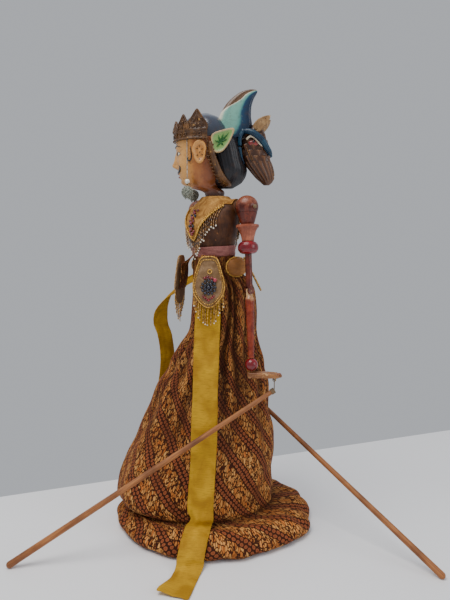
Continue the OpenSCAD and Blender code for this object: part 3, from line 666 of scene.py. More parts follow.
# --- Torso -------------------------------------------------------------------------------------
# Height, centre y, half width and half depth
TORSO = [(342.3, 0, 26, 20), (352, 0, 27, 21), (366, -1, 30, 22), (376, -2, 34, 23), (384, -3, 35, 23),
         (395, -4, 37.3, 27), (408, -4.5, 42.5, 30), (420, -4.5, 45.5, 31), (432, -3, 44.5, 28),
         (443, 0, 41, 23), (450, 1, 30, 20), (455, 1, 21.5, 17)]
TORSO_TOP = 455.2
SHOULDER = (59, 11, 441)
STUB_R, STUB_X = 10, 45


def torso_at(turn, z, out=0.0):
    """A point on the torso's skin, or out above it; turn 0 is the left side and -90 the front."""
    y, wide, deep = sample(TORSO, z)
    return Vector(((wide + out) * math.cos(turn), y + (deep + out) * math.sin(turn), z))


def chest_at(x, z, face, out=0.0):
    """A point of the chest (face -1) or the back (face 1) at x."""
    y, wide, deep = sample(TORSO, z)
    share = min(0.995, abs(x) / (wide + out))
    return Vector((x, y + face * (deep + out) * math.sqrt(1 - share * share), z))


def make_torso():
    """The bare wooden chest, open at the neck, with a round stub for each shoulder."""
    form = Form()
    rows = [[torso_at(t, TORSO[0][0] + k * 2.25) for t in turns(72)] for k in range(50)]
    skin = rows[-1]
    for share in (0.9, 0.72, 0.6):
        rows.append([Vector((p.x * share, (p.y - 1) * share + 1, TORSO_TOP)) for p in skin])
    form.grid(rows, True, (True, False))
    for side in (LEFT, RIGHT):
        ends = ((20, STUB_R), (STUB_X - 2, STUB_R), (STUB_X - 0.4, STUB_R - 0.4), (STUB_X, STUB_R - 1.4))
        form.tube([(side * x, *SHOULDER[1:]) for x, _ in ends], [r for _, r in ends], 40)
    form.build("torso_carved", "body", "torso", "torso_paint", "torso")


make_torso()

# The V of the collar's edge, as x and height from the middle out
V_EDGE = [(0, 397), (6, 401), (40, 445)]
COLLAR_T, COLLAR_END = 2.2, 447


def v_height(x):
    """The height of the collar's V edge, x out from the middle."""
    (x0, z0), (x1, z1) = V_EDGE[:2] if x < V_EDGE[1][0] else V_EDGE[1:]
    return z0 + (x - x0) * (z1 - z0) / (x1 - x0)


def make_collar():
    """The velvet collar: over the shoulders and down to a V in front and behind."""
    form, rows = Form(), []
    columns, steps = 120, 26
    for t in turns(columns, math.pi / 2):
        low = V_EDGE[0][1]
        for _ in range(30):  # homes in on where the torso's skin crosses the V
            low = v_height(min(V_EDGE[2][0], abs(torso_at(t, low, COLLAR_T).x)))
        low = min(low, COLLAR_END)
        row = []
        for k in range(steps):
            share = k / (steps - 1)
            if share < 0.2:
                edge = torso_at(t, 454.5, 0.8)
                flat = Vector((0, 1, 456.6)).lerp(Vector((edge.x, edge.y, 456.4)), 0.72 + share * 1.3)
                row.append(flat)
                continue
            z = 455.5 + (low - 455.5) * (share - 0.2) / 0.8
            fold = 0.5 * bumps(4 * math.cos(t), 4 * math.sin(t), z * 0.12)
            p = torso_at(t, min(z, 454.9), COLLAR_T - 1.1 + fold)
            p.z = z
            over = STUB_R + 1.4
            aside, above = p.y - SHOULDER[1], p.z - SHOULDER[2]
            if abs(aside) < over and aside * aside + above * above < over * over and abs(p.x) > 18:
                p.z = SHOULDER[2] + math.sqrt(over * over - aside * aside)
            row.append(p)
        rows.append(row)
    rows.append(rows[0])
    form.grid(rows)
    form.cloth((0.31 * j / columns, i * 0.0026, 0) for j in range(columns + 1) for i in range(steps))
    return form.build("collar_velvet_cape", "body", "velvet", "velvet", "collar", 1, 1.0)


def v_line(face, gap, out):
    """Points along the collar's V edge, gap apart, from one shoulder to the other."""
    half = spaced([(x, 0, z) for x, z in V_EDGE], gap)
    flat = [Vector((-p.x, 0, p.z)) for p in half[:0:-1]] + half
    return [chest_at(p.x, min(p.z, 444), face, out) for p in flat if abs(p.x) < 38.5]


def make_trim():
    """Two rows of gold beads along the collar's edge."""
    form = Form()
    for face in (-1, 1):
        for p in v_line(face, 2.0, COLLAR_T + 0.6):
            form.ball(p, 1.4, n=6)
        for p in v_line(face, 2.4, COLLAR_T + 0.4):
            form.ball(p + UP * 2.9, (1.5, 0.9, 1.0), n=6)
    return form.build("collar_gold_trim", "body", "gold", "gold_trim", "collar_trim")


def make_collar_fringe():
    """Bugle strands hanging from the V edge down the chest and back, each ending in a pearl."""
    form, rng = Form(), random.Random(11)
    for face in (-1, 1):
        for top in v_line(face, 4.2, 1.2):
            long = 23 + 3 * rng.random()
            x, z, low = top.x, top.z - 1, top.z - long
            y = chest_at(x, z, face, 1.3).y
            while z - 4.4 > low:
                ends = []
                for height in (z - 0.2, z - 4.2):
                    y = face * max(face * y, face * chest_at(x, height, face, 1.3).y)
                    ends.append((x, y, height))
                form.tube(ends, 0.62, 6)
                z -= 4.7
                form.ball((x, y, z + 0.25), 0.6, n=6)
            form.ball((x, y, z - 0.7), 1.25, 1, 8)
    return form.build("collar_bead_fringe", "body", "bugle seed", "bugle_beads", "collar_fringe")


def make_chest_beads():
    """A line of red beads down the chest, with smaller red and navy ones beside them."""
    form = Form()
    for k, z in enumerate(range(406, 435, 7)):
        form.ball(chest_at(0, z, -1, COLLAR_T + 1.2), (2.8, 2.1, 2.8), 0, 14)
        for x in (-4.4, 4.4):
            form.ball(chest_at(x, z + 3.2, -1, COLLAR_T + 0.9), (2.1, 1.5, 2.1), k % 2, 12)
    return form.build("chest_gems", "body", "gem navy", "red_beads", "chest_beads")


collar = make_collar()
collar_dress = [make_trim(), make_collar_fringe(), make_chest_beads()]


BELT_Z = 375.2


def make_belt():
    """A satin sash wound round the waist, with soft creases that run along it."""
    rows, columns, steps = [], 97, 15
    for j in range(steps):
        z = BELT_Z + j
        row = []
        for t, crease_turn in zip(turns(columns - 1) + [2 * math.pi], turns(columns)[:-1] + [0.0]):
            x, y = math.cos(crease_turn), math.sin(crease_turn)
            crease = bumps(3 * x, 3 * y, z * 0.35 + 1.5 * y)
            swell = 1.7 + math.sin(math.pi * j / (steps - 1)) ** 0.5 + 0.9 * crease
            p = torso_at(t, z, swell)
            p.z += 0.06 * p.dot(RIGHTWARDS)  # the belt sits a little askew
            row.append(p)
        rows.append(row)
    form = Form().grid(rows)
    form.cloth((i * 0.0022, j * 0.001, 0) for j in range(steps) for i in range(columns))
    belt = form.build("belt_sash", "body", "satin", "satin", "belt", 1, 0.8)


make_belt()

# --- Skirt -------------------------------------------------------------------------------------
# Row, height, centre x, centre y, half width and half depth in the drape frame, from the waist down
SKIRT = [(0, 352, 7, 0, 39, 34), (1, 330, 12, 0, 44, 38), (2, 300, 13, 0, 47, 42),
         (3, 271, 11, 0, 49, 45), (4, 250, 6, 0, 58, 49), (5, 232, 4, 0, 66, 54), (6, 216, 3, 0, 71, 58),
         (7, 195, -2, 0, 82, 62), (8, 165, -6, 0, 89, 67), (9, 142, -9, 0, 96, 71),
         (10, 117, -13, 0, 104, 77), (11, 95, -19, 0, 110, 82), (12, 70, -27, 0, 113, 87),
         (13, 45, -30, 0, 115, 90), (13.8, 32, -27, 0, 111, 89),
         (14.5, 25, -22, 0, 103, 86), (15, 24, -17, -3, 109, 92), (16, 23, -4, -6, 122, 101),
         (17, 18.5, 0, -9, 133, 117), (18, 12, 0, -11, 141, 125), (19, 5, 0, -11, 140, 124),
         (20, 0.9, 0, -11, 132, 115), (21, 0.6, -6, -8, 104, 90)]
# Above row 0 the cloth goes on up to under the belt, and at CREASE_ROW it folds onto the train
WAIST_ROW, CREASE_ROW, SEAM = -1.0, 14.5, 125
# Where the waist's pleats are, in degrees round the drape frame, and how deep each is
PLEATS = [(-172, 2.6), (-150, 3.4), (-131, 2.4), (-116, 3.6), (-97, 2.2), (-80, 4.2), (-66, 3.8),
          (-50, 2.6), (-33, 3.6), (-12, 3.0), (10, 2.4), (34, 3.4), (58, 2.6), (80, 3.4), (104, 2.6),
          (126, 3.4), (150, 2.8)]


LOWEST = 0.4


def pleat_at(row, turn):
    """How deep the cloth is pleated in, in millimetres."""
    degrees, fade = math.degrees(turn), ease(-1, 1.5, row) * (1 - ease(5, 12.5, row))
    deep = 0.0
    for centre, depth in PLEATS:
        off = (degrees - centre - 3 * math.sin(row * 0.7 + centre) + 180) % 360 - 180
        deep += 1.9 * depth * fade * hump(off, 0, 3.6 + 0.3 * max(row, 0))
    return deep


def train_share(row):
    """0 on the bell of the skirt and 1 on the train."""
    return ease(13.2, 14.4, row)


def skirt_at(row, turn):
    """A point of the draped cloth, by its row on the way down and its angle in the drape frame."""
    z, cx, cy, wide, deep = sample(SKIRT, max(row, 0))
    degrees = math.degrees(turn)
    around = Vector((math.cos(turn), math.sin(turn), 0))
    train = train_share(row)
    bell = 1 - train
    swing = noise.noise(around * 2.2 + UP * (row * 0.16))
    small = noise.noise(around * 6.5 + Vector((3, 0, row * 0.42)))
    drag = bumps(degrees * 0.045 + row * 0.55, row * 0.25 - degrees * 0.02, 5)
    lumps = noise.noise(around * 3.1 + Vector((9, 2, row * 0.15)))
    out = -0.8 - pleat_at(row, turn) * bell
    out += bell * ease(2, 9, row) * (9.0 * swing - 2.0)
    out += 1.3 * small * (0.6 + train)
    out += bell * ease(3, 7, row) * 4.0 * drag
    out += train * ease(14.6, 17, row) * (9 * lumps - 2)
    heap = (hump(degrees, 20, 50) * 12 + 3) * hump(row, 15.6, 1.7)
    z += heap + train * ease(15, 16, row) * (1 - ease(18, 19.5, row)) * (3.2 * small + 2.0 * lumps)
    p = Vector((cx + (wide + out) * around.x, cy + (deep + out) * around.y, max(z, LOWEST)))
    if row < 1:
        top = DRAPE.inverted() @ torso_at(turn + math.radians(DRAPE_TURN), 376, 2.4)
        top.z = SKIRT[0][1] + 24.5 * -min(row, 0)
        p = p.lerp(top, ease(0, 1, (1 - row) / 2))
    return p


def make_skirt():
    """The batik skirt and its train in one cloth, with painted shade marked in its pleats, at its waist
    under the belt and in its crease.
    """
    columns, per_row, every = 280, 7, 8
    count = int((SKIRT[-1][0] - WAIST_ROW) * per_row) + 1
    around = turns(columns, math.radians(SEAM))
    around.append(around[0] + 2 * math.pi)
    places = [WAIST_ROW + k / per_row for k in range(count)]
    rows = [[skirt_at(row, turn) for turn in around] for row in places]
    downs = [0.0]
    for a, b in zip(rows, rows[1:]):
        gaps = [(a[i] - b[i]).length for i in range(0, columns, every)]
        downs.append(downs[-1] + sum(gaps) / len(gaps) * MM)
    form = Form(DRAPE).grid(rows)
    form.cloth((0.78 * i / columns, down, 0) for down in downs for i in range(columns + 1))
    for row in places:
        # Painted shade for the batik: how dark the cloth is made in the pleats, under the belt at the waist
        # and in the crease onto the train
        under = 0.75 * hump(row, CREASE_ROW, 0.55) + 0.5 * hump(row, WAIST_ROW, 1.6)
        bell = 1 - train_share(row)
        form.tint((min(1, pleat_at(row, turn) * bell / 6.5 + under) for turn in around), "fold")
    skirt = form.build("skirt_cloth", "body", "batik", "batik", "skirt skirt_train")


make_skirt()

# --- Scarves -----------------------------------------------------------------------------------
# Each scarf's middle line from the belt down, in the drape frame
SCARF_LEFT = [(-5, -38, 372), (-5, -41, 340), (-8, -46, 306), (-10, -50, 270), (-11, -58, 235),
              (-12, -66, 200), (-13, -72, 160), (-14, -80, 120), (-16, -89, 85), (-18, -95, 55),
              (-20, -98, 35), (-22, -106, 27.5), (-24, -120, 25.5), (-26, -133, 20), (-28, -141.5, 12),
              (-29, -147, 4), (-33, -162, 1.7), (-42, -202, 1.7)]
SCARF_RIGHT = [(-24, 32, 345), (-36, 42, 340), (-56, 39, 328), (-71, 40, 314), (-80, 39, 296),
               (-81, 40, 276), (-76, 43, 258), (-73, 49, 232), (-74, 53, 205), (-80, 57, 165),
               (-88, 65, 120), (-96, 75, 80), (-101, 83, 45), (-104, 86, 32)]


def make_scarf(name, path, yaw, flat, node, upright=0.0, kink=-1.0, torn=0.0):
    """A long cotton band, rippled and frayed along its edges.

    yaw is the way that it faces and upright how far it stands on edge at the belt, in degrees;
    kink is how far along it is pinched, and torn is 1 for a ragged end.
    """
    count, across, width = len(path) * 9, 14, flat[0] / MM
    line = along(path, count)
    level = turned(yaw, "Z") @ Vector((1, 0, 0))
    rows, cloth, done = [], [], 0.0
    for j, p in enumerate(line):
        rise = math.radians(upright) * (1 - ease(0.1, 0.42, j / count))
        side = (level * math.cos(rise) + UP * math.sin(rise)).normalized()
        way = line[min(j + 1, count - 1)] - line[max(j - 1, 0)]
        out = side.cross(way).normalized()
        if j:
            done += (p - line[j - 1]).length
        share = j / (count - 1)
        pinch, tail = hump(share, kink, 0.022), torn * ease(0.94, 1, share)
        half = width / 2 * (1 - 0.06 * bumps(done * 0.02, yaw, 0))
        half *= (0.62 + 0.38 * ease(0, 0.17, share)) * (1 - 0.14 * pinch)
        row = []
        for i in range(across + 1):
            s = 2 * i / across - 1
            fray = 0.7 * bumps(done * 0.35, s * 3, 1) * abs(s) ** 4
            ripple = 0.9 * bumps(s * 1.1, done * 0.045, yaw) + 0.5 * bumps(s * 2.5, done * 0.16, 3)
            ripple -= 0.7 * bumps(s * 1.8 - share * 9, share * 14, 6)
            ripple -= pinch * (3.6 + 2.2 * math.sin(2.4 * s + 0.8))
            ragged = 5.5 * s + 2.6 * bumps(s * 5, yaw, 2) + 1.6 * bumps(s * 14, yaw, 7)
            corner = ease(0.1, 1, -s)
            q = p + side * (half * s + fray + 4.0 * pinch - 6.0 * tail * corner) + out * ripple
            q += way.normalized() * (tail * ragged)
            q.z = max(q.z + 4.5 * tail * corner, 0.7)
            row.append(q)
            cloth.append((i / across * flat[0], done * MM, 0))
        rows.append(row)
    form = Form(DRAPE).grid(rows)
    form.cloth(cloth)
    scarf = form.build(name, "body", "scarf", "scarf_cloth", node, 1, 0.9)


make_scarf("scarf_near", SCARF_LEFT, 0, (0.034, 0.47), "scarf_left", kink=0.57, torn=1.0)
make_scarf("scarf_far", SCARF_RIGHT, -146, (0.024, 0.37), "scarf_right", upright=-58)

# --- Hip flaps ---------------------------------------------------------------------------------
FLAP_W, FLAP_LEN = 43, 66
# A flap's right half from the belt down: a share of its half width, and y
FLAP_EDGE = [(0.0, 3.0), (0.3, 2.6), (0.52, 0.0), (0.68, -8), (0.84, -20), (0.98, -32), (0.99, -41),
             (0.86, -50), (0.6, -58), (0.34, -63.5), (0.14, -65.6)]
# The pad's rounded edge and its face, as rings of the outline: a share of its size, and a height
FLAP_LAYERS = [(0.9, 0.2), (1.0, 0.5), (1.0, 1.2), (0.94, 1.9), (0.8, 2.0), (0.5, 2.3), (0.2, 2.4)]


def flap_outline():
    """A tongue: narrower where it leaves the belt, widest below, with a round pointed end."""
    right = [(FLAP_W / 2 * x, y) for x, y in FLAP_EDGE]
    corners = right + [(0, -FLAP_LEN)] + [(-x, y) for x, y in right[:0:-1]]
    return [(p.x, p.y) for p in along([(x, y, 0) for x, y in corners + corners[:1]], 64)[:-1]]


def flap_frame(side):
    """A flap's own frame: x runs across it, y up it and z out of its face."""
    x, y = (34, -32.5) if side == LEFT else (-32, -33.5)
    return moved(x, y, 374) @ turned(50 * side, "Z") @ turned(-3, "X") @ turned(90, "X")


def make_flap(side, name):
    """A velvet flap with its two rows of trim, its brass ring and the bead strands below it."""
    place, outline = flap_frame(side), flap_outline()
    form = Form(place).slab(outline, FLAP_LAYERS)
    form.cloth((p.x * MM, p.y * MM, 0) for p in form.points)
    flap = form.build(f"hip_flap_{name}_velvet", "body", "plush", "velvet", f"hip_flap_{name}", 1)

    trim = Form(place)
    loop = [Vector((x, y, 2.3)) for x, y in outline + outline[:1]]
    middle = -FLAP_LEN / 2
    for share, gap, size in ((0.97, 1.9, 1.1), (0.86, 2.3, 0.95)):
        ring = [(p.x * share, middle + (p.y - middle) * share, p.z + 0.2) for p in loop]
        for q in spaced(ring, gap):
            trim.ball(q, (size, size, 0.8), n=6)
    hub, hub_r = Vector((1.5, -FLAP_LEN * 0.27, 2.9)), 2.6
    ring = [hub + hub_r * Vector((math.cos(t), math.sin(t), 0)) for t in turns(17)[:-1] + [0.0]]
    trim.tube(ring, 0.85, 6)
    trim = trim.build(f"flap_trim_{name}", "body", "gold", "gold_trim")

    rng, fringe = random.Random(21 + side), Form(place)
    bugle, seed, gold, deep = 0, 1, 2, 1.2
    bottom = -FLAP_LEN - 25.5
    for p in spaced(loop, 4.3):
        if p.y >= -FLAP_LEN * 0.64:
            continue
        x, y, long = p.x * 0.96, p.y + 0.5, 24 + 4 * rng.random() - 0.35 * abs(p.x)
        tilt = rng.uniform(-0.05, 0.05)
        while y - 4 > max(p.y - long, bottom):
            x += tilt * 4
            paint = rng.choice((bugle, bugle, gold))
            fringe.tube([(x, y, deep), (x + tilt * 3, y - 3.3, deep)], 0.6, 6, paint)
            fringe.ball((x, y - 3.9, deep), 0.7, gold, 6)
            y -= 4.5
        fringe.ball((x, y - 0.4, deep), 1.05, seed if rng.random() < 0.5 else gold, 6)
    fringe = fringe.build(f"flap_bead_fringe_{name}", "body", "bugle seed gold", "bugle_beads",
                          f"flap_fringe_{name}")
    return flap, trim, fringe


def make_flower(side, name):
    """A flower of navy and rose beads under a red one, stitched on the flap."""
    form = Form(flap_frame(side))
    centre = Vector((0, -FLAP_LEN * 0.58, 3.4))
    form.ball(centre + Vector((0, 0, 0.8)), (2.6, 2.6, 1.8), 0, 10)
    for ring, count, size in ((4.8, 7, 2.3), (9.0, 12, 2.1)):
        for t in turns(count):
            spot = centre + Vector((ring * math.cos(t), ring * math.sin(t), 0))
            form.ball(spot, (size, size, 1.4), 0, 8)
    for x, y, paint, size in ((-1, 13, 1, 3), (-5.5, 12, 1, 2), (4.6, 12, 1, 2.2), (8.5, 9.5, 2, 2.8)):
        form.ball(centre + Vector((x, y, 0.2)), (size, size, 1.3), paint, 8)
    for x, drop in ((-7, 11.6), (-4.8, 13.6), (-2.4, 15.6), (0, 17.6), (2.4, 15.6), (4.8, 13.6), (7, 11.6)):
        form.ball(centre + Vector((x, -drop, 0)), (1.6, 1.8, 1.2), 1, 8)
    return form.build(f"flap_flower_{name}", "body", "navy gem rose", "bugle_beads", f"flap_beads_{name}")


def make_hanger(side, name):
    """The batik strip, folded back, that carries a flap: from under the sash to the flap's top."""
    frame_at, lean = flap_frame(side), math.radians(-58 if side == LEFT else -122)
    rows, across = [], 21
    for share in fractions(30):
        row = []
        for i in range(across):
            s = i / 10 - 1
            start = torso_at(lean + s * 0.36, 377.5 - 26 * share, 2.6)
            end = Vector((s * 15.5, 2 - 46 * share, -1.4 - 3.0 * math.sin(math.pi * share)))
            p = start.lerp(frame_at @ (end * MM) / MM, ease(0, 0.3, share))
            row.append(p + UP * 0.8 * bumps(s * 3, share * 4, side))
        rows.append(row)
    form = Form().grid(rows)
    form.cloth((i * 0.0017, j * 0.0018, 0) for j in range(len(rows)) for i in range(across))
    strip = form.build(f"flap_lining_{name}", "body", "batik", "batik", (), 1, 0.9)


for side, name in SIDES:
    make_hanger(side, name)
    flap, *dress = make_flap(side, name)
    dress.append(make_flower(side, name))


def make_boss(side, name):
    """A padded satin puff at the hip, gathered at its back, with a gold bead edge."""
    form, rows = Form(), []
    centre, size = Vector((side * 42, 6, 362)), Vector((8.5, 16.5, 12.5))
    for j in range(1, 22):
        tall = math.pi * j / 22
        row = []
        for t in turns(56):
            way = Vector((math.cos(tall), math.sin(tall) * math.cos(t), math.sin(tall) * math.sin(t)))
            pucker = 0.5 * math.sin(14 * t) * ease(0.35, 0.9, 1 - abs(math.cos(tall)))
            pucker += noise.noise(way * 2.4)
            swollen = Vector((way.x * side * size.x, way.y * size.y, way.z * size.z))
            row.append(centre + swollen * (1 + 0.035 * pucker))
        rows.append(row)
    form.grid(rows, True, (True, True))
    form.cloth((p.y * MM, p.z * MM, 0) for p in form.points)
    for t in turns(44):
        form.ball(centre + Vector((side * 1.2, 17.2 * math.cos(t), 13.2 * math.sin(t))), 1.05, 1, 6)
    boss = form.build(f"hip_boss_{name}_puff", "body", "brown_satin gold", "satin", f"hip_boss_{name}")


for side, name in SIDES:
    make_boss(side, name)


def make_rear_flap():
    """The pointed olive flap below the belt at the back, with a gold edge."""
    place = DRAPE @ moved(40, 6, 372) @ turned(-27, "Y") @ turned(90, "Z") @ turned(90, "X")
    half, waist, tip = 20, -24, -52
    left = [(-half, 0), (-half - 0.5, waist / 2), (-half, waist), (-half * 0.5, (waist + tip) / 2 - 1)]
    outline = left + [(0, tip)] + [(-x, y) for x, y in left[::-1]]
    rows = []
    for k in range(19):
        y = tip * k / 18
        wide = half if y > waist else half * (y - tip) / (waist - tip)
        rows.append([(wide * s, y, 1.2 + 1.1 * bumps(s * 2, y * 0.08, 4))
                     for s in (i / 8 - 1 for i in range(17))])
    form = Form(place).grid(rows)
    form.cloth((p.x * MM, p.y * MM, 0) for p in form.points)
    flap = form.build("rear_flap_cloth", "body", "olive", "velvet", "rear_flap", 1, 1.2)
    trim = Form(place)
    for p in spaced([(x, y, 1.6) for x, y in outline], 2.2):
        trim.ball(p, (1.1, 1.1, 1.5), n=6)
    trim = trim.build("rear_flap_trim", "body", "gold", "gold_trim")


make_rear_flap()

# --- Head --------------------------------------------------------------------------------------
# Height, centre y, half width and half depth in the head's frame
SKULL = [(447, 0, 12, 12), (458, 0, 13, 13), (464, -2, 14, 15), (471, -16.5, 17.5, 22), (480, -18, 22, 29),
         (492, -18, 26, 32), (508, -17, 29, 35), (526, -16, 31, 37), (534, -16, 31, 37)]
CAP = [(533.4, -16, 31, 37), (543, -16, 29.5, 35.5), (555, -15, 24, 29), (563, -14, 17, 20),
       (568.6, -13, 5, 6)]

# The face's relief, alike on both sides: height, then the centre and width of the hump in x and z.
# Its lines are the usual ones of a carved face: eyes halfway up, nose and mouth below in thirds.
RELIEF = [(3.0, 0, 3.2, 509, 7.5), (5.6, 0, 4.0, 500, 5.6), (2.4, 0, 3.2, 497.6, 3.2),
          (2.2, 5.0, 2.3, 496.6, 2.6), (-1.0, 0, 6, 491.6, 2.0), (-2.6, 12.5, 6.4, 514, 5),
          (2.3, 12.5, 5, 513.4, 3.7), (1.3, 12, 9, 521.5, 2.6), (1.6, 17, 7, 499, 7),
          (1.8, 0, 7.4, 487.8, 1.7), (1.9, 0, 6.2, 483.2, 1.7), (-1.3, 0, 8.4, 485.6, 0.9),
          (2.4, 0, 8, 474.6, 4.2), (-1.1, 0, 7, 479.6, 2)]
EYE_X, EYE_Z = 12.4, 513.4


def relief(x, z):
    """How far the face stands out of the skull, in millimetres."""
    return sum(h * hump(abs(x), x0, wx) * hump(z, z0, wz) for h, x0, wx, z0, wz in RELIEF)


def on_face(x, z, out=0.0):
    """A point on the face, or out in front of it."""
    y, wide, deep = sample(SKULL, z)
    return Vector((x, y - deep * math.sqrt(max(0.02, 1 - (x / wide) ** 2)) - relief(x, z) - out, z))


def on_side(side, y, z, out=0.0):
    """A point on the side of the head."""
    cy, wide, deep = sample(SKULL, z)
    return Vector((side * (wide * math.sqrt(max(0.02, 1 - ((y - cy) / deep) ** 2)) + out), y, z))


# An ear from its rim in to its middle: a share of its size, and how far out it stands
EAR = [(1.0, 29), (1.03, 31.4), (0.98, 33.4), (0.88, 33.9), (0.74, 33.0), (0.58, 31.2), (0.4, 30.8),
       (0.22, 31.8), (0.06, 32.4)]
EAR_DOTS = [(-17, 521), (-13.6, 517), (-20, 517.5), (-16.6, 513), (-13.4, 509.5), (-19.6, 509), (-17, 504)]


def make_face():
    """The carved head and neck, from a bare skull with the face's relief, and its two ears."""
    form, rows = Form(HEAD), []
    for k in range(96):
        z = 447 + 87 * k / 95
        cy, wide, deep = sample(SKULL, z)
        row = []
        for t in turns(168, math.pi / 2):
            x, y = wide * math.cos(t), cy + deep * math.sin(t)
            y -= relief(x, z) * ease(0.0, 0.4, -math.sin(t)) * ease(462, 470, z)
            row.append((x, y, z))
        rows.append(row)
        # Painted shade: the tint darkens down the neck under the jaw; it also darkens towards the back of
        # the head
        backs = (ease(-40, -24, y) * 0.5 + ease(-20, 4, y) * 0.2 for _, y, _ in row)
        form.tint(min(1, back + 0.45 * (1 - ease(452, 474, z))) for back in backs)
    form.grid(rows, True, (True, True))
    around, inner = turns(32), range(5 * 32, 8 * 32)
    for side in (LEFT, RIGHT):
        ear = []
        for r, lift in EAR:
            ear.append([(side * lift, -17 + 9.9 * r * math.cos(t) * (1 if math.sin(t) > 0 else 0.82),
                         514 + 15.3 * r * math.sin(t)) for t in around])
        form.grid(ear, True, (False, True))
        # Painted shade: each ear's hollow takes a darker tint than its rim
        form.tint(0.34 if k in inner else 0.16 for k in range(len(EAR) * len(around) + 1))
    form.build("head_carved", "head_rod", "face", "face_paint", "head")


def make_features():
    """What is painted on the face, in slight relief: eyes, brows, moustache, lips and ear dots."""
    form = Form(HEAD)
    white, ink, lip, iris, dots = range(5)
    for side in (LEFT, RIGHT):
        for paint, wide, tall, out, x0 in ((white, 5.2, 2.5, 0.3, EYE_X), (iris, 2.2, 2.2, 0.55, 12.2),
                                           (ink, 1.1, 1.1, 0.75, 12.2)):
            rows = []
            for j in range(9):
                share = (j + 0.01) / 8
                row = []
                for t in turns(20):
                    rise = math.sin(t) * (math.sqrt(abs(math.sin(t))) if paint == white else 1)
                    x, z = side * (x0 + wide * math.cos(t) * share), EYE_Z + tall * rise * share
                    row.append(on_face(x, z, out * (1 - share**6)))
                rows.append(row)
            form.grid(rows[::-1], True, (False, True), paint)
        across = [k / 8 - 1 for k in range(17)]
        for rise, size in ((2.7, 0.5), (-2.2, 0.32)):
            lid = [on_face(side * (EYE_X + 5.9 * s), EYE_Z + rise * (1 - s * s), 0.3) for s in across]
            form.tube(lid, [size * (1 - 0.5 * abs(s)) for s in across], 6, ink)
        brow = [(4.5 + 17 * s, 519.6 + 4.2 * math.sin(math.pi * (0.15 + 0.72 * s))) for s in fractions(17)]
        brow = [on_face(side * x, z, 0.25) for x, z in brow]
        form.tube(brow, swelling(17, 0.3, 0.85, 0.1, 0.85), 8, ink, 0.6)
        whisker = [(0.3, 0, 490.6), (4, 0, 489.6), (8, 0, 489.4), (12, 0, 490.8), (15, 0, 493.4),
                   (16.2, 0, 496.4), (15.2, 0, 498.4)]
        whisker = [on_face(p.x, p.z, 0.35) for p in mirrored(side, whisker, 28)]
        form.tube(whisker, swelling(28, 0.5, 1.35, 0.16), 8, ink, 0.75)
        curl = [(-29.5, 521, 0.2), (-28.6, 512, 0.4), (-28.8, 506, 0.5), (-31.4, 502.6, 0.5),
                (-34, 504.6, 0.4), (-33, 507.6, 0.3)]
        curl = [on_side(side, *p) for p in along(curl, 24)]
        form.tube(curl, swelling(24, 0.35, 0.75), 6, ink)
        for y, z in EAR_DOTS:
            form.ball((side * 32.4, y, z), (0.9, 0.95, 0.95), dots, 8)
    for z0, tall, bow in ((487.6, 1.5, 0.6), (483.6, 1.5, -0.4)):
        rows = []
        for r in (j / 3 - 1 for j in range(7)):
            rows.append([on_face(8.0 * s, z0 + tall * (1 - s * s) * r + bow * abs(s) * 1.2,
                                 0.28 * (1 - r * r)) for s in (i / 12 - 1 for i in range(25))])
        form.grid(rows, paint=lip)
    form.build("face_details", "head_rod", "white ink lip bronze beak", "face_paint")


def make_cap():
    """The glossy domed cap on the crown of the head."""
    form, rows, low, high = Form(HEAD), [], CAP[0][0], CAP[-1][0]
    for share in fractions(30):
        z = low + (high - low) * math.sin(math.pi / 2 * share)
        y, wide, deep = sample(CAP, z)
        rows.append([(wide * math.cos(t), y + deep * math.sin(t), z) for t in turns(64)])
        # Painted highlight: the tint rises with height, so the dome is lighter towards its top
        form.tint([0.2 + 0.6 * share] * 64)
    form.grid(rows, True, (True, True))
    form.build("skull_cap_dome", "head_rod", "cap", "cap_paint", "skull_cap", 1)


BAND_Z, BAND_H, BAND_REACH = 530, 13, math.radians(104)
SIDE_STRIP = [(-9, 533), (-6.5, 526), (-5, 519), (-5, 512), (-7, 506)]
# The band's section from its lower back edge round its front: how far out, and height above BAND_Z
BAND_EDGE = [(0.1, 0), (2.6, 0), (3.4, 1.2), (2.4, 2.4), (2.2, 6), (2.3, 10), (3.6, 11.2), (3.6, 12.6),
             (2.4, 13.2), (0.1, 13.2)]
# The crown's leaves: degrees round from the front, width and height
CROWN = [(0, 18, 11), (26, 20, 15), (53, 23, 22), (84, 29, 28)]
CROWN_LAYERS = [(0.95, -1.5), (1, -1.1), (1, 1.0), (0.95, 1.5), (0.86, 1.4), (0.8, 0.7), (0.62, 0.6),
                (0.5, 1.3), (0.36, 1.3), (0.25, 0.6)]


def band_at(turn, out, z):
    """A point on the diadem's band, or out in front of it; turn is -90 degrees at the front."""
    return Vector(((31.4 + out) * math.cos(turn), -16 + (37.4 + out) * math.sin(turn), z))


def leaf_outline(wide, tall):
    """A pointed leaf that stands on its foot."""
    half = [(0.48, 0), (0.52, 0.12), (0.5, 0.26), (0.4, 0.44), (0.28, 0.6), (0.17, 0.78), (0.07, 0.94)]
    right = [(x * wide, y * tall) for x, y in half]
    return right + [(0, tall)] + [(-x, y) for x, y in right[::-1]]


def curl_path(centre, size, flip):
    """A flat scroll that winds inwards, clockwise if flip is -1."""
    path = []
    for s in fractions(23):
        radius, turn = size * (1 - 0.72 * s), 0.4 + 7.2 * s
        path.append(Vector((centre[0] + flip * radius * math.cos(turn),
                            centre[1] + radius * math.sin(turn), 0)))
    return path


def crown_leaf(wide, tall):
    """One of the crown's leaves, lying flat: a raised rim, a rib and two scrolls on each side."""
    part = Form().slab(leaf_outline(wide, tall), CROWN_LAYERS, (0, tall * 0.4))
    for flip in (1, -1):
        for size, high in ((wide * 0.13, 0.2), (wide * 0.1, 0.45)):
            path = curl_path((flip * wide * 0.2, tall * high), size, flip)
            part.tube([p + UP for p in path], 0.55, 5)
    return part.tube([(0, tall * s, 1.1) for s in (0.1, 0.4, 0.7, 0.92)], [0.9, 0.8, 0.6, 0.2], 6)


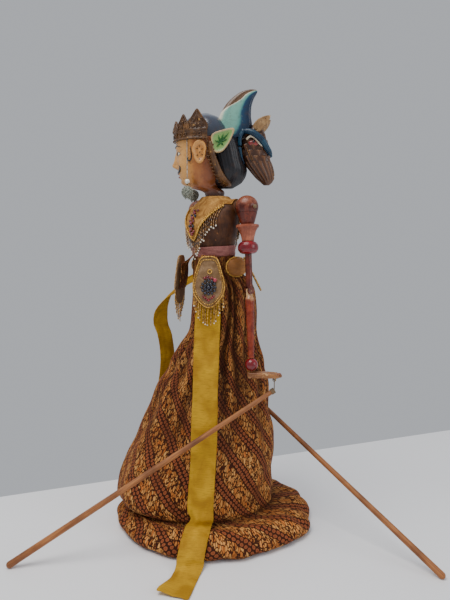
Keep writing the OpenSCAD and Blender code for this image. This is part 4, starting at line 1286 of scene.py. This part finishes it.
def make_diadem():
    """A carved band with pointed leaves, scrolls and a beaded lower edge."""
    form, front = Form(HEAD), -math.pi / 2
    spans = [front - BAND_REACH + 2 * BAND_REACH * s for s in fractions(90)]
    rows = []
    for out, h in BAND_EDGE:
        carved = 0.25 if 2 < h < 10.5 else 0
        rows.append([band_at(t, out + carved * math.sin(22 * t), BAND_Z + h) for t in spans])
    form.grid(rows[::-1])
    beaded = BAND_REACH * 0.98
    for s in fractions(76):
        form.ball(band_at(front - beaded + 2 * beaded * s, 3.2, BAND_Z + 0.9), 0.95, 1, 6)
    for angle, wide, tall in CROWN:
        for side in ((LEFT, RIGHT) if angle else (LEFT,)):
            a = math.radians(angle)
            spot = Vector((side * 33.4 * math.sin(a), -16 - 39.4 * math.cos(a), BAND_Z + BAND_H - 1.5))
            form.join(crown_leaf(wide, tall),
                      Matrix.Translation(spot) @ turned(side * angle, "Z") @ turned(86, "X"))
            for flip in (1, -1):
                middle = front + side * a + flip * 0.1
                curl = curl_path((0, 6.2), 3.0, flip)
                form.tube([band_at(middle + p.x / 36, 2.7, BAND_Z + p.y) for p in curl], 0.75, 6)
    for side in (LEFT, RIGHT):
        strip = [on_side(side, y, z, 1.2) for y, z in SIDE_STRIP]
        form.tube(along(strip, 16), 1.5, 8, 0, 0.8)
        for p in along(strip, 9):
            form.ball(p + Vector((side * 1.1, 0, 0)), 1.2, 1, 8)
    form.build("diadem_carved", "head_rod", "bronze bronze", "carved_bronze", "diadem")


# Height, centre y, half width and half depth of the hair at the nape
HAIR = [(468, 15, 9, 9), (476, 17, 19, 20), (490, 19, 25, 25), (506, 16, 27, 25), (520, 13, 28, 26),
        (533, 10, 29, 25)]
HAIR_FRONT, COMBED = -1.6, 34
BRAID = [(30, -3, 527), (29.6, -1.5, 514), (28.4, 1.5, 503), (26, 5, 493), (22, 10, 482.5),
         (15, 16, 474.5), (5, 21, 471)]
BRAID_R = [5.6, 6.6, 7.2] + [7.6] * 31 + [7.0, 6.4, 5.8, 5.0, 4.2, 3.2]


def make_hair():
    """Combed black hair down to the nape."""
    form, rows, around = Form(HEAD), [], turns(96, math.pi / 2)
    for share in fractions(34):
        z = 468 + 65 * share
        y, wide, deep = sample(HAIR, z)
        row = []
        for t in around:
            comb = 0.35 * math.sin(COMBED * t + 0.05 * z)
            row.append(((wide + comb) * math.cos(t),
                        max(y + (deep + comb) * math.sin(t), HAIR_FRONT), z))
        rows.append(row)
        form.tint(0.5 + 0.5 * math.sin(COMBED * t) for t in around)
    form.grid(rows, True, (True, True))
    form.build("hair_mass", "head_rod", "black", "cap_paint", "hair")


def make_braid():
    """The border of the hair on each side: a flat roll with pairs of loops along it."""
    braid = Form(HEAD)
    for side in (LEFT, RIGHT):
        line = mirrored(side, BRAID, len(BRAID_R))
        braid.tube(line, BRAID_R, 16, 0, 0.55)
        outward = Vector((side * 0.9, -0.2, -0.15))
        for k in range(2, 38, 3):
            way = (line[k + 2] - line[k - 2]).normalized()
            across = way.cross(outward).normalized()
            for flip in (1, -1):
                loop = []
                for a in (j * 0.6 for j in range(9)):
                    reach = across * (3.0 + math.cos(a) * 2.8) * flip + way * math.sin(a) * 2.6
                    loop.append(line[k] + outward * 4.3 + reach * (1 - 0.1 * a))
                braid.tube(loop, 0.8, 5)
    braid.build("hair_braid", "head_rod", "bronze", "carved_bronze")


# Row, the front edge's y and height, the rear edge's y and height, and half the thickness
CRESCENT = [(0, 1, 534, 30, 534, 12), (1, -0.5, 546, 43, 538, 12), (2, 3.5, 557, 50.5, 551, 11.5),
            (3, 9, 569, 49.5, 564, 10.5), (4, 18, 582.5, 50, 577, 9), (5, 33, 594.5, 53, 587, 7),
            (6, 47, 599, 56.5, 593, 4), (7, 56, 598.8, 58, 596.4, 1.2)]


def make_crescent():
    """The painted horn on the crown: broad and thick below, curved to a thin tip."""
    form, rows = Form(HEAD), []
    for k in range(90):
        at = CRESCENT[-1][0] * k / 89
        fy, fz, ry, rz, half = sample(CRESCENT, at)
        front, rear = Vector((0, fy, fz)), Vector((0, ry, rz))
        rim, cream = 0.46 * ease(2.9, 4.6, at), 0.17 * (1 - 0.6 * ease(2.5, 4, at))
        row, tints = [], []
        for t in turns(96):
            s = 0.5 - 0.5 * boxy(math.cos(t), 0.75)
            dish = 1 - 0.13 * ease(0.18, 0.3, s) * (1 - ease(0.8, 0.95, s))
            row.append(front.lerp(rear, s) + Vector((boxy(math.sin(t), 0.45) * half * dish, 0, 0)))
            past = s - rim
            shade = 0.23 + 0.19 * min(1, past / cream) + 0.1 * s + 1.6 * max(0, s - 0.56)
            tints.append(shade if past > 0 else 0.18 + 0.5 * past)
        rows.append(row)
        form.tint(tints)
    form.grid(rows, True, (True, True))
    form.build("crescent_horn", "head_rod", "crescent", "crescent_paint", "hair_crescent")


# An ear leaf's outline as y and height, then its rings: a share of its size, how far out and a tint
EAR_LEAF = [(1, 514), (-1, 525), (0, 535.5), (14, 541), (29, 542.5), (25.5, 530), (19, 519), (13, 513),
            (6, 511.5), (1, 514)]
EAR_LEAF_LAYERS = [(0.9, -1.1, 1), (1, -0.6, 1), (1, 0.8, 0.95), (0.95, 1.4, 0.9), (0.86, 1.3, 0.8),
                   (0.8, 0.5, 0.2), (0.5, 0.3, 0.05), (0.2, 0.4, 0.0)]

EAR_LEAF_POINTS = [(6, 519), (4, 527), (8, 534), (15, 536), (22, 537), (20, 529), (15, 521)]


def make_ear_leaf(side, name):
    """A painted ornament behind the ear: a pale rim round a green leaf with seven points."""
    form, rows = Form(HEAD @ moved(side * 33.5, 0, 0)), []
    outline = along([(0, y, z) for y, z in EAR_LEAF], 40)[:-1]
    middle = Vector((0, 12, 527))
    for scale, high, tint in EAR_LEAF_LAYERS:
        rows.append([middle + (p - middle) * scale + Vector((side * high, 0, 0)) for p in outline])
        form.tint([tint] * len(outline))
    form.grid(rows, True, (True, True))
    start = Vector((side * 0.5, 11, 525))
    for y, z in EAR_LEAF_POINTS:
        end = Vector((side * 0.9, y, z))
        path = [start.lerp(end, s) for s in (0, 0.35, 0.7, 1)]
        form.tube(path, [0.5, 1.4, 1.0, 0.2], 6, 1, 0.35, (side, 0, 0.1))
    form.build(f"ear_leaf_{name}_painted", "head_rod", "leaf green", "leaf_paint", f"ear_leaf_{name}")


# Height, front y, rear y and half width of the bird's head that looks backwards
BIRD = [(472, 67, 74.5, 3.5), (476, 62.5, 79, 6.5), (482, 56, 80.5, 9.5), (490, 49, 79.5, 12),
        (500, 41.5, 77.5, 14.5), (510, 36.5, 75, 16), (520, 34.5, 73.5, 16.8), (530, 33, 71.5, 16),
        (538, 38, 69, 13), (546, 46, 66, 9), (552, 50, 63, 5)]
# Painted strips on the left of the bird's head: its brow, a strand down its neck and its eyelid
BIRD_BROW = [(15.5, 41, 542), (17.4, 49, 541), (18, 58, 536), (17.2, 66, 528), (14, 73, 517), (9, 76, 512)]
BIRD_STRAND = [(15, 40, 544), (16.2, 36, 534), (16.6, 35, 522), (14.4, 37, 510), (11, 41, 500)]
BIRD_LID = [(16.6, 44, 531), (17.6, 50, 535), (17.8, 57, 531), (17.2, 62, 525), (15.4, 66, 522.5)]
BIRD_BEAK = [(0, 70, 512), (0, 76, 500), (0, 79.5, 488), (0, 79.5, 480), (0, 75, 474)]
BEAK_R = [3.2, 3.6, 3.9, 4.0, 4.0, 3.9, 3.8, 3.6, 3.4, 3.2, 3.0, 2.8, 2.5, 2.2, 1.8, 1.2]


def feathers(turn, z):
    """Carved relief: rows of overlapping pointed feathers that run into ridges along the beak."""
    high = z / 7.5
    across = 5 * turn / math.pi + (0.5 if int(high) % 2 else 0)
    aside, down = abs(across % 1 - 0.5) * 2, high % 1
    scale = max(0, 1 - aside - 0.75 * (1 - down)) + 0.35 * (aside < 0.12)
    ridge = 0.45 * math.sin(15 * turn + 0.06 * z) * ease(474, 482, z) * (1 - ease(500, 508, z))
    return ridge + (1.15 * scale - 0.3) * ease(498, 505, z) * (1 - ease(540, 548, z))


def bird_ear(side):
    """Rows of points round one of the bird's ears, from its root to its tip."""
    x, over = side * 16.4, Vector((0, -5.2, 6.4))
    root, tip = Vector((x * 0.7, 55, 545)), Vector((x * 0.95, 76, 562))
    rows = []
    for share in fractions(12):
        wide = math.sin(math.pi * (0.22 + 0.78 * share)) ** 0.8
        row = []
        for t in turns(20):
            hollow = 1.6 if math.sin(t) > 0 and abs(math.cos(t)) < 0.6 else 0
            aside = Vector((side * (2.6 * math.sin(t) - hollow) * wide, 0, 0))
            row.append(root + (tip - root) * share + over * wide * math.cos(t) * 0.9 + aside)
        rows.append(row)
    return rows


def make_bird():
    """A stylised bird's head on the back of the crown, carved with feathers."""
    form, rows = Form(HEAD), []
    low, high = BIRD[0][0], BIRD[-1][0]
    for k in range(110):
        z = low + (high - low) * k / 109
        front, rear, half = sample(BIRD, z)
        row, tints = [], []
        for t in turns(140):
            ridge = feathers(t, z)
            y = (front + rear) / 2 + ((rear - front) / 2 + ridge) * math.sin(t)
            row.append(((half + ridge) * boxy(math.cos(t), 0.7), y, z))
            tints.append(0.48 + 0.6 * ridge + 0.2 * math.sin(t) - 0.2 * ease(500, 545, z))
        rows.append(row)
        form.tint(tints)
    form.grid(rows, True, (True, True))
    tan, blue, cream, red, ink, bronze = range(1, 7)
    for side in (LEFT, RIGHT):
        form.grid(bird_ear(side), True, (True, True), tan)
        form.tube(mirrored(side, BIRD_BROW, 24), swelling(24, 1.8, 3.9, 0.15, 0.75), 10, blue, 0.8)
        strand = [4.6 - 3.8 * s**1.5 for s in fractions(20)]
        form.tube(mirrored(side, BIRD_STRAND, 20), strand, 10, blue, 0.6)
        form.tube(mirrored(side, BIRD_LID, 20), 1.5, 8, cream)
        form.ball((side * 15.8, 54, 526.4), (2.0, 7.4, 4.0), red, 16)
        form.ball((side * 17.4, 54, 528), (1.2, 2.0, 2.0), ink, 10)
        for k in range(5):
            feather = [(15.6 - k, 44 + 4 * k, 522 - 2 * k), (15 - k, 49 + 4 * k, 508 - 4 * k),
                       (11 - k, 56 + 3 * k, 494 - 3 * k)]
            feather = mirrored(side, feather, 10)
            form.tube(feather, [0.5, 1.0, 1.2, 1.3, 1.3, 1.2, 1.1, 0.9, 0.7, 0.3], 6, bronze, 0.7)
    form.tube(along(BIRD_BEAK, len(BEAK_R)), BEAK_R, 12, bronze, 0.6)
    form.build("bird_head_carved", "head_rod", "beak tan blue cream lip ink bronze", "carved_bronze",
               "bird_ornament")


make_face()
make_features()
make_cap()
make_diadem()
make_hair()
make_braid()
make_crescent()
for side, name in SIDES:
    make_ear_leaf(side, name)
make_bird()

# --- Arms, hands and rods ----------------------------------------------------------------------
SWING = {LEFT: -2, RIGHT: 19.5}
TILT = {LEFT: 5.65, RIGHT: 3}
HAND_YAW = {LEFT: 55, RIGHT: 187}
HAND_PITCH = {LEFT: 0, RIGHT: 62}
PALM_Z, HAND_LEN, RING_Z = -215.5, 40, -53.5
# Sections of the palm from the wrist on: x, half width, then the lowest and the highest z
PALM = [(-5.6, 3.2, -8.4, -1.6), (-4, 5.2, -9, -1.2), (2, 6.4, -9, -1.0), (9, 7.7, -9, -1.1),
        (15, 8.5, -8.9, -1.3), (19, 8.6, -8.8, -1.6), (21, 8.0, -8.4, -2.2)]
THUMB = [(6, 5, -5), (10, 8, -5.2), (14, 11.2, -5.4), (17.6, 13.6, -5.5)]


def arm_frame(side):
    """The arm's own frame: its origin is the shoulder and -Z runs down to the hand."""
    x, y, z = SHOULDER
    return moved(side * x, y, z) @ turned(-side * TILT[side], "Y") @ turned(SWING[side], "X")


def hand_frame(side):
    """The hand's own frame: its origin is the wrist, x runs to the fingertips and -Z is the palm."""
    palm = arm_frame(side) @ (UP * PALM_Z * MM)
    return Matrix.Translation(palm) @ turned(HAND_YAW[side], "Z") @ turned(HAND_PITCH[side], "Y")


def arm_paint(name, side, low, high, worn, top, reach):
    """Painted wood that takes another colour, top, above the height of reach millimetres."""
    axis = arm_frame(side).to_3x3() @ UP
    p = Paint(name, Coat_Weight=0.15, Coat_Roughness=0.2, Specular_IOR_Level=0.35)
    streaks, blotches = p.noise(1.4, 5, p.grain(axis, 10)), p.noise(10, 4, twist=0.7)
    base = p.mix(p.step(blotches, 0.38, 0.62), low, high)
    height = p.axis(p.where, 2)
    wobble = p.maths("MULTIPLY", p.maths("SUBTRACT", blotches, 0.5), 0.02)
    share = p.step(p.maths("ADD", height, wobble), reach * MM - 0.004, reach * MM + 0.006)
    base = p.mix(share, base, top)
    base = p.mix(p.step(streaks, 0.5, 0.85), base, dimmed(low, 0.55))
    chips = p.step(p.noise(4.5, 7), 0.69, 0.72)
    colour = p.mix(chips, base, worn)
    return p.finish(colour, (0.2, 0.42), p.noise(5, 4), p.maths("SUBTRACT", streaks, chips), 0.16)


def rod_wood(name):
    """Timber whose grain runs down the rod, from its thread tie."""
    low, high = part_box(f"hand_rod_{name}")
    tie_low, tie_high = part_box(f"rod_tie_{name}")
    axis = (low + high) / 2 - (tie_low + tie_high) / 2
    axis.z = -(high.z - low.z) / 2
    return bare_wood(f"rod_{name}_timber", tone(138, 80, 38), tone(184, 120, 66), axis, (0.5, 0.7))


def make_hand(side, name):
    """A flat carved hand: a palm, four fingers grooved apart and a thumb along the side."""
    form, rows = Form(hand_frame(side)), []
    for x, half, low, high in PALM:
        mid, tall = (low + high) / 2, (high - low) / 2
        rows.append([(x, side * half * boxy(math.cos(t), 0.45), mid + tall * boxy(math.sin(t), 0.6))
                     for t in turns(28)])
    form.grid(rows, True, (True, True))
    for k in range(4):
        y = -6.45 + 4.3 * k
        tip = HAND_LEN - (4 if k in (0, 3) else 0) - 0.3
        sections = ((16, 2.0, 3.4, -5.2), (24, 2.05, 3.1, -5.4), (25.6, 1.9, 2.9, -5.5),
                    (30, 2.0, 2.9, -5.7), (tip - 3, 1.9, 2.6, -5.9), (tip - 1, 1.6, 2.1, -6.0),
                    (tip, 0.9, 1.1, -6.1))
        finger = []
        for x, half, tall, mid in sections:
            finger.append([(x, side * (y + half * boxy(math.cos(t), 0.6)),
                            mid + tall * boxy(math.sin(t), 0.7)) for t in turns(14)])
        form.grid(finger, True, (True, True))
        form.ball((tip - 2.6, side * y, -3.6), (1.7, 1.3, 0.5), 1, 10)  # the nail
    form.tube([(x, side * y, z) for x, y, z in THUMB], [3.2, 2.9, 2.5, 1.4], 14)
    form.build(f"hand_{name}_carved", f"hand_{name}", f"hand_{name} lip", "hand_paint", f"hand_{name}")


def make_ring(side, name):
    """A turned bead: full in the middle, with a fine groove near each end."""
    rows, hole, full, half, groove = [], 5.4, 8.2, 8.4, 0.62
    for k in range(41):
        tall = k / 20 - 1
        radius = hole + full * (1 - abs(tall) ** 2.3) ** 0.5
        radius -= 0.5 * (hump(tall, groove, 0.05) + hump(tall, -groove, 0.05))
        rows.append([(radius * math.cos(t), radius * math.sin(t), RING_Z + half * tall)
                     for t in turns(56)])
    form = Form(arm_frame(side)).grid(rows, True, (True, True))
    form.build(f"arm_ring_{name}_turned", f"upper_arm_{name}", "lacquer", "crimson_lacquer",
               f"arm_ring_{name}")


def finish_arm(side, name):
    """Makes one arm's paints and its own pieces, and gives every CAD node of it its look."""
    # The upper arm's lighter top over the shoulder ball is partly worn paint and partly a painted
    # highlight; the forearm's lighter top is the bare pale wood of the elbow
    mats[f"upper_{name}"] = arm_paint(f"upper_arm_paint_{name}", side, tone(70, 22, 12), tone(112, 44, 26),
                                      tone(150, 96, 66), tone(138, 78, 56), 443)
    mats[f"fore_{name}"] = arm_paint(f"forearm_paint_{name}", side, tone(112, 34, 16), tone(150, 58, 28),
                                     tone(178, 110, 66), tone(214, 174, 124), 322)
    axis = hand_frame(side).to_3x3() @ Vector((1, 0, 0))
    mats[f"hand_{name}"] = painted_wood(f"hand_paint_{name}", tone(120, 72, 38), tone(166, 110, 62),
                                        tone(196, 150, 100), axis, 0.6)
    mats[f"rod_{name}"] = rod_wood(name)
    make_hand(side, name)
    make_ring(side, name)
    looks = {"upper_arm": f"upper_{name}", "forearm": f"fore_{name}", "arm_cuff": "cuff",
             "elbow_pin": "peg", "wrist_peg": "peg", "wrist_bead": "lacquer", "hand_staple": "wire",
             "rod_tie": "cord", "hand_rod": f"rod_{name}"}
    for node, look in looks.items():
        dress_node(f"{node}_{name}", look)


def dress_node(node, look):
    """Gives a CAD node one of the materials."""
    for material_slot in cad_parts[node].material_slots:
        material_slot.material = mats[look]


for side, name in SIDES:
    finish_arm(side, name)
for node, look in (("stand_base", "stand"), ("stand_socket", "socket"), ("central_rod", "pole"),
                   ("rod_stop", "socket"), ("shoulder_cord", "cord")):
    dress_node(node, look)
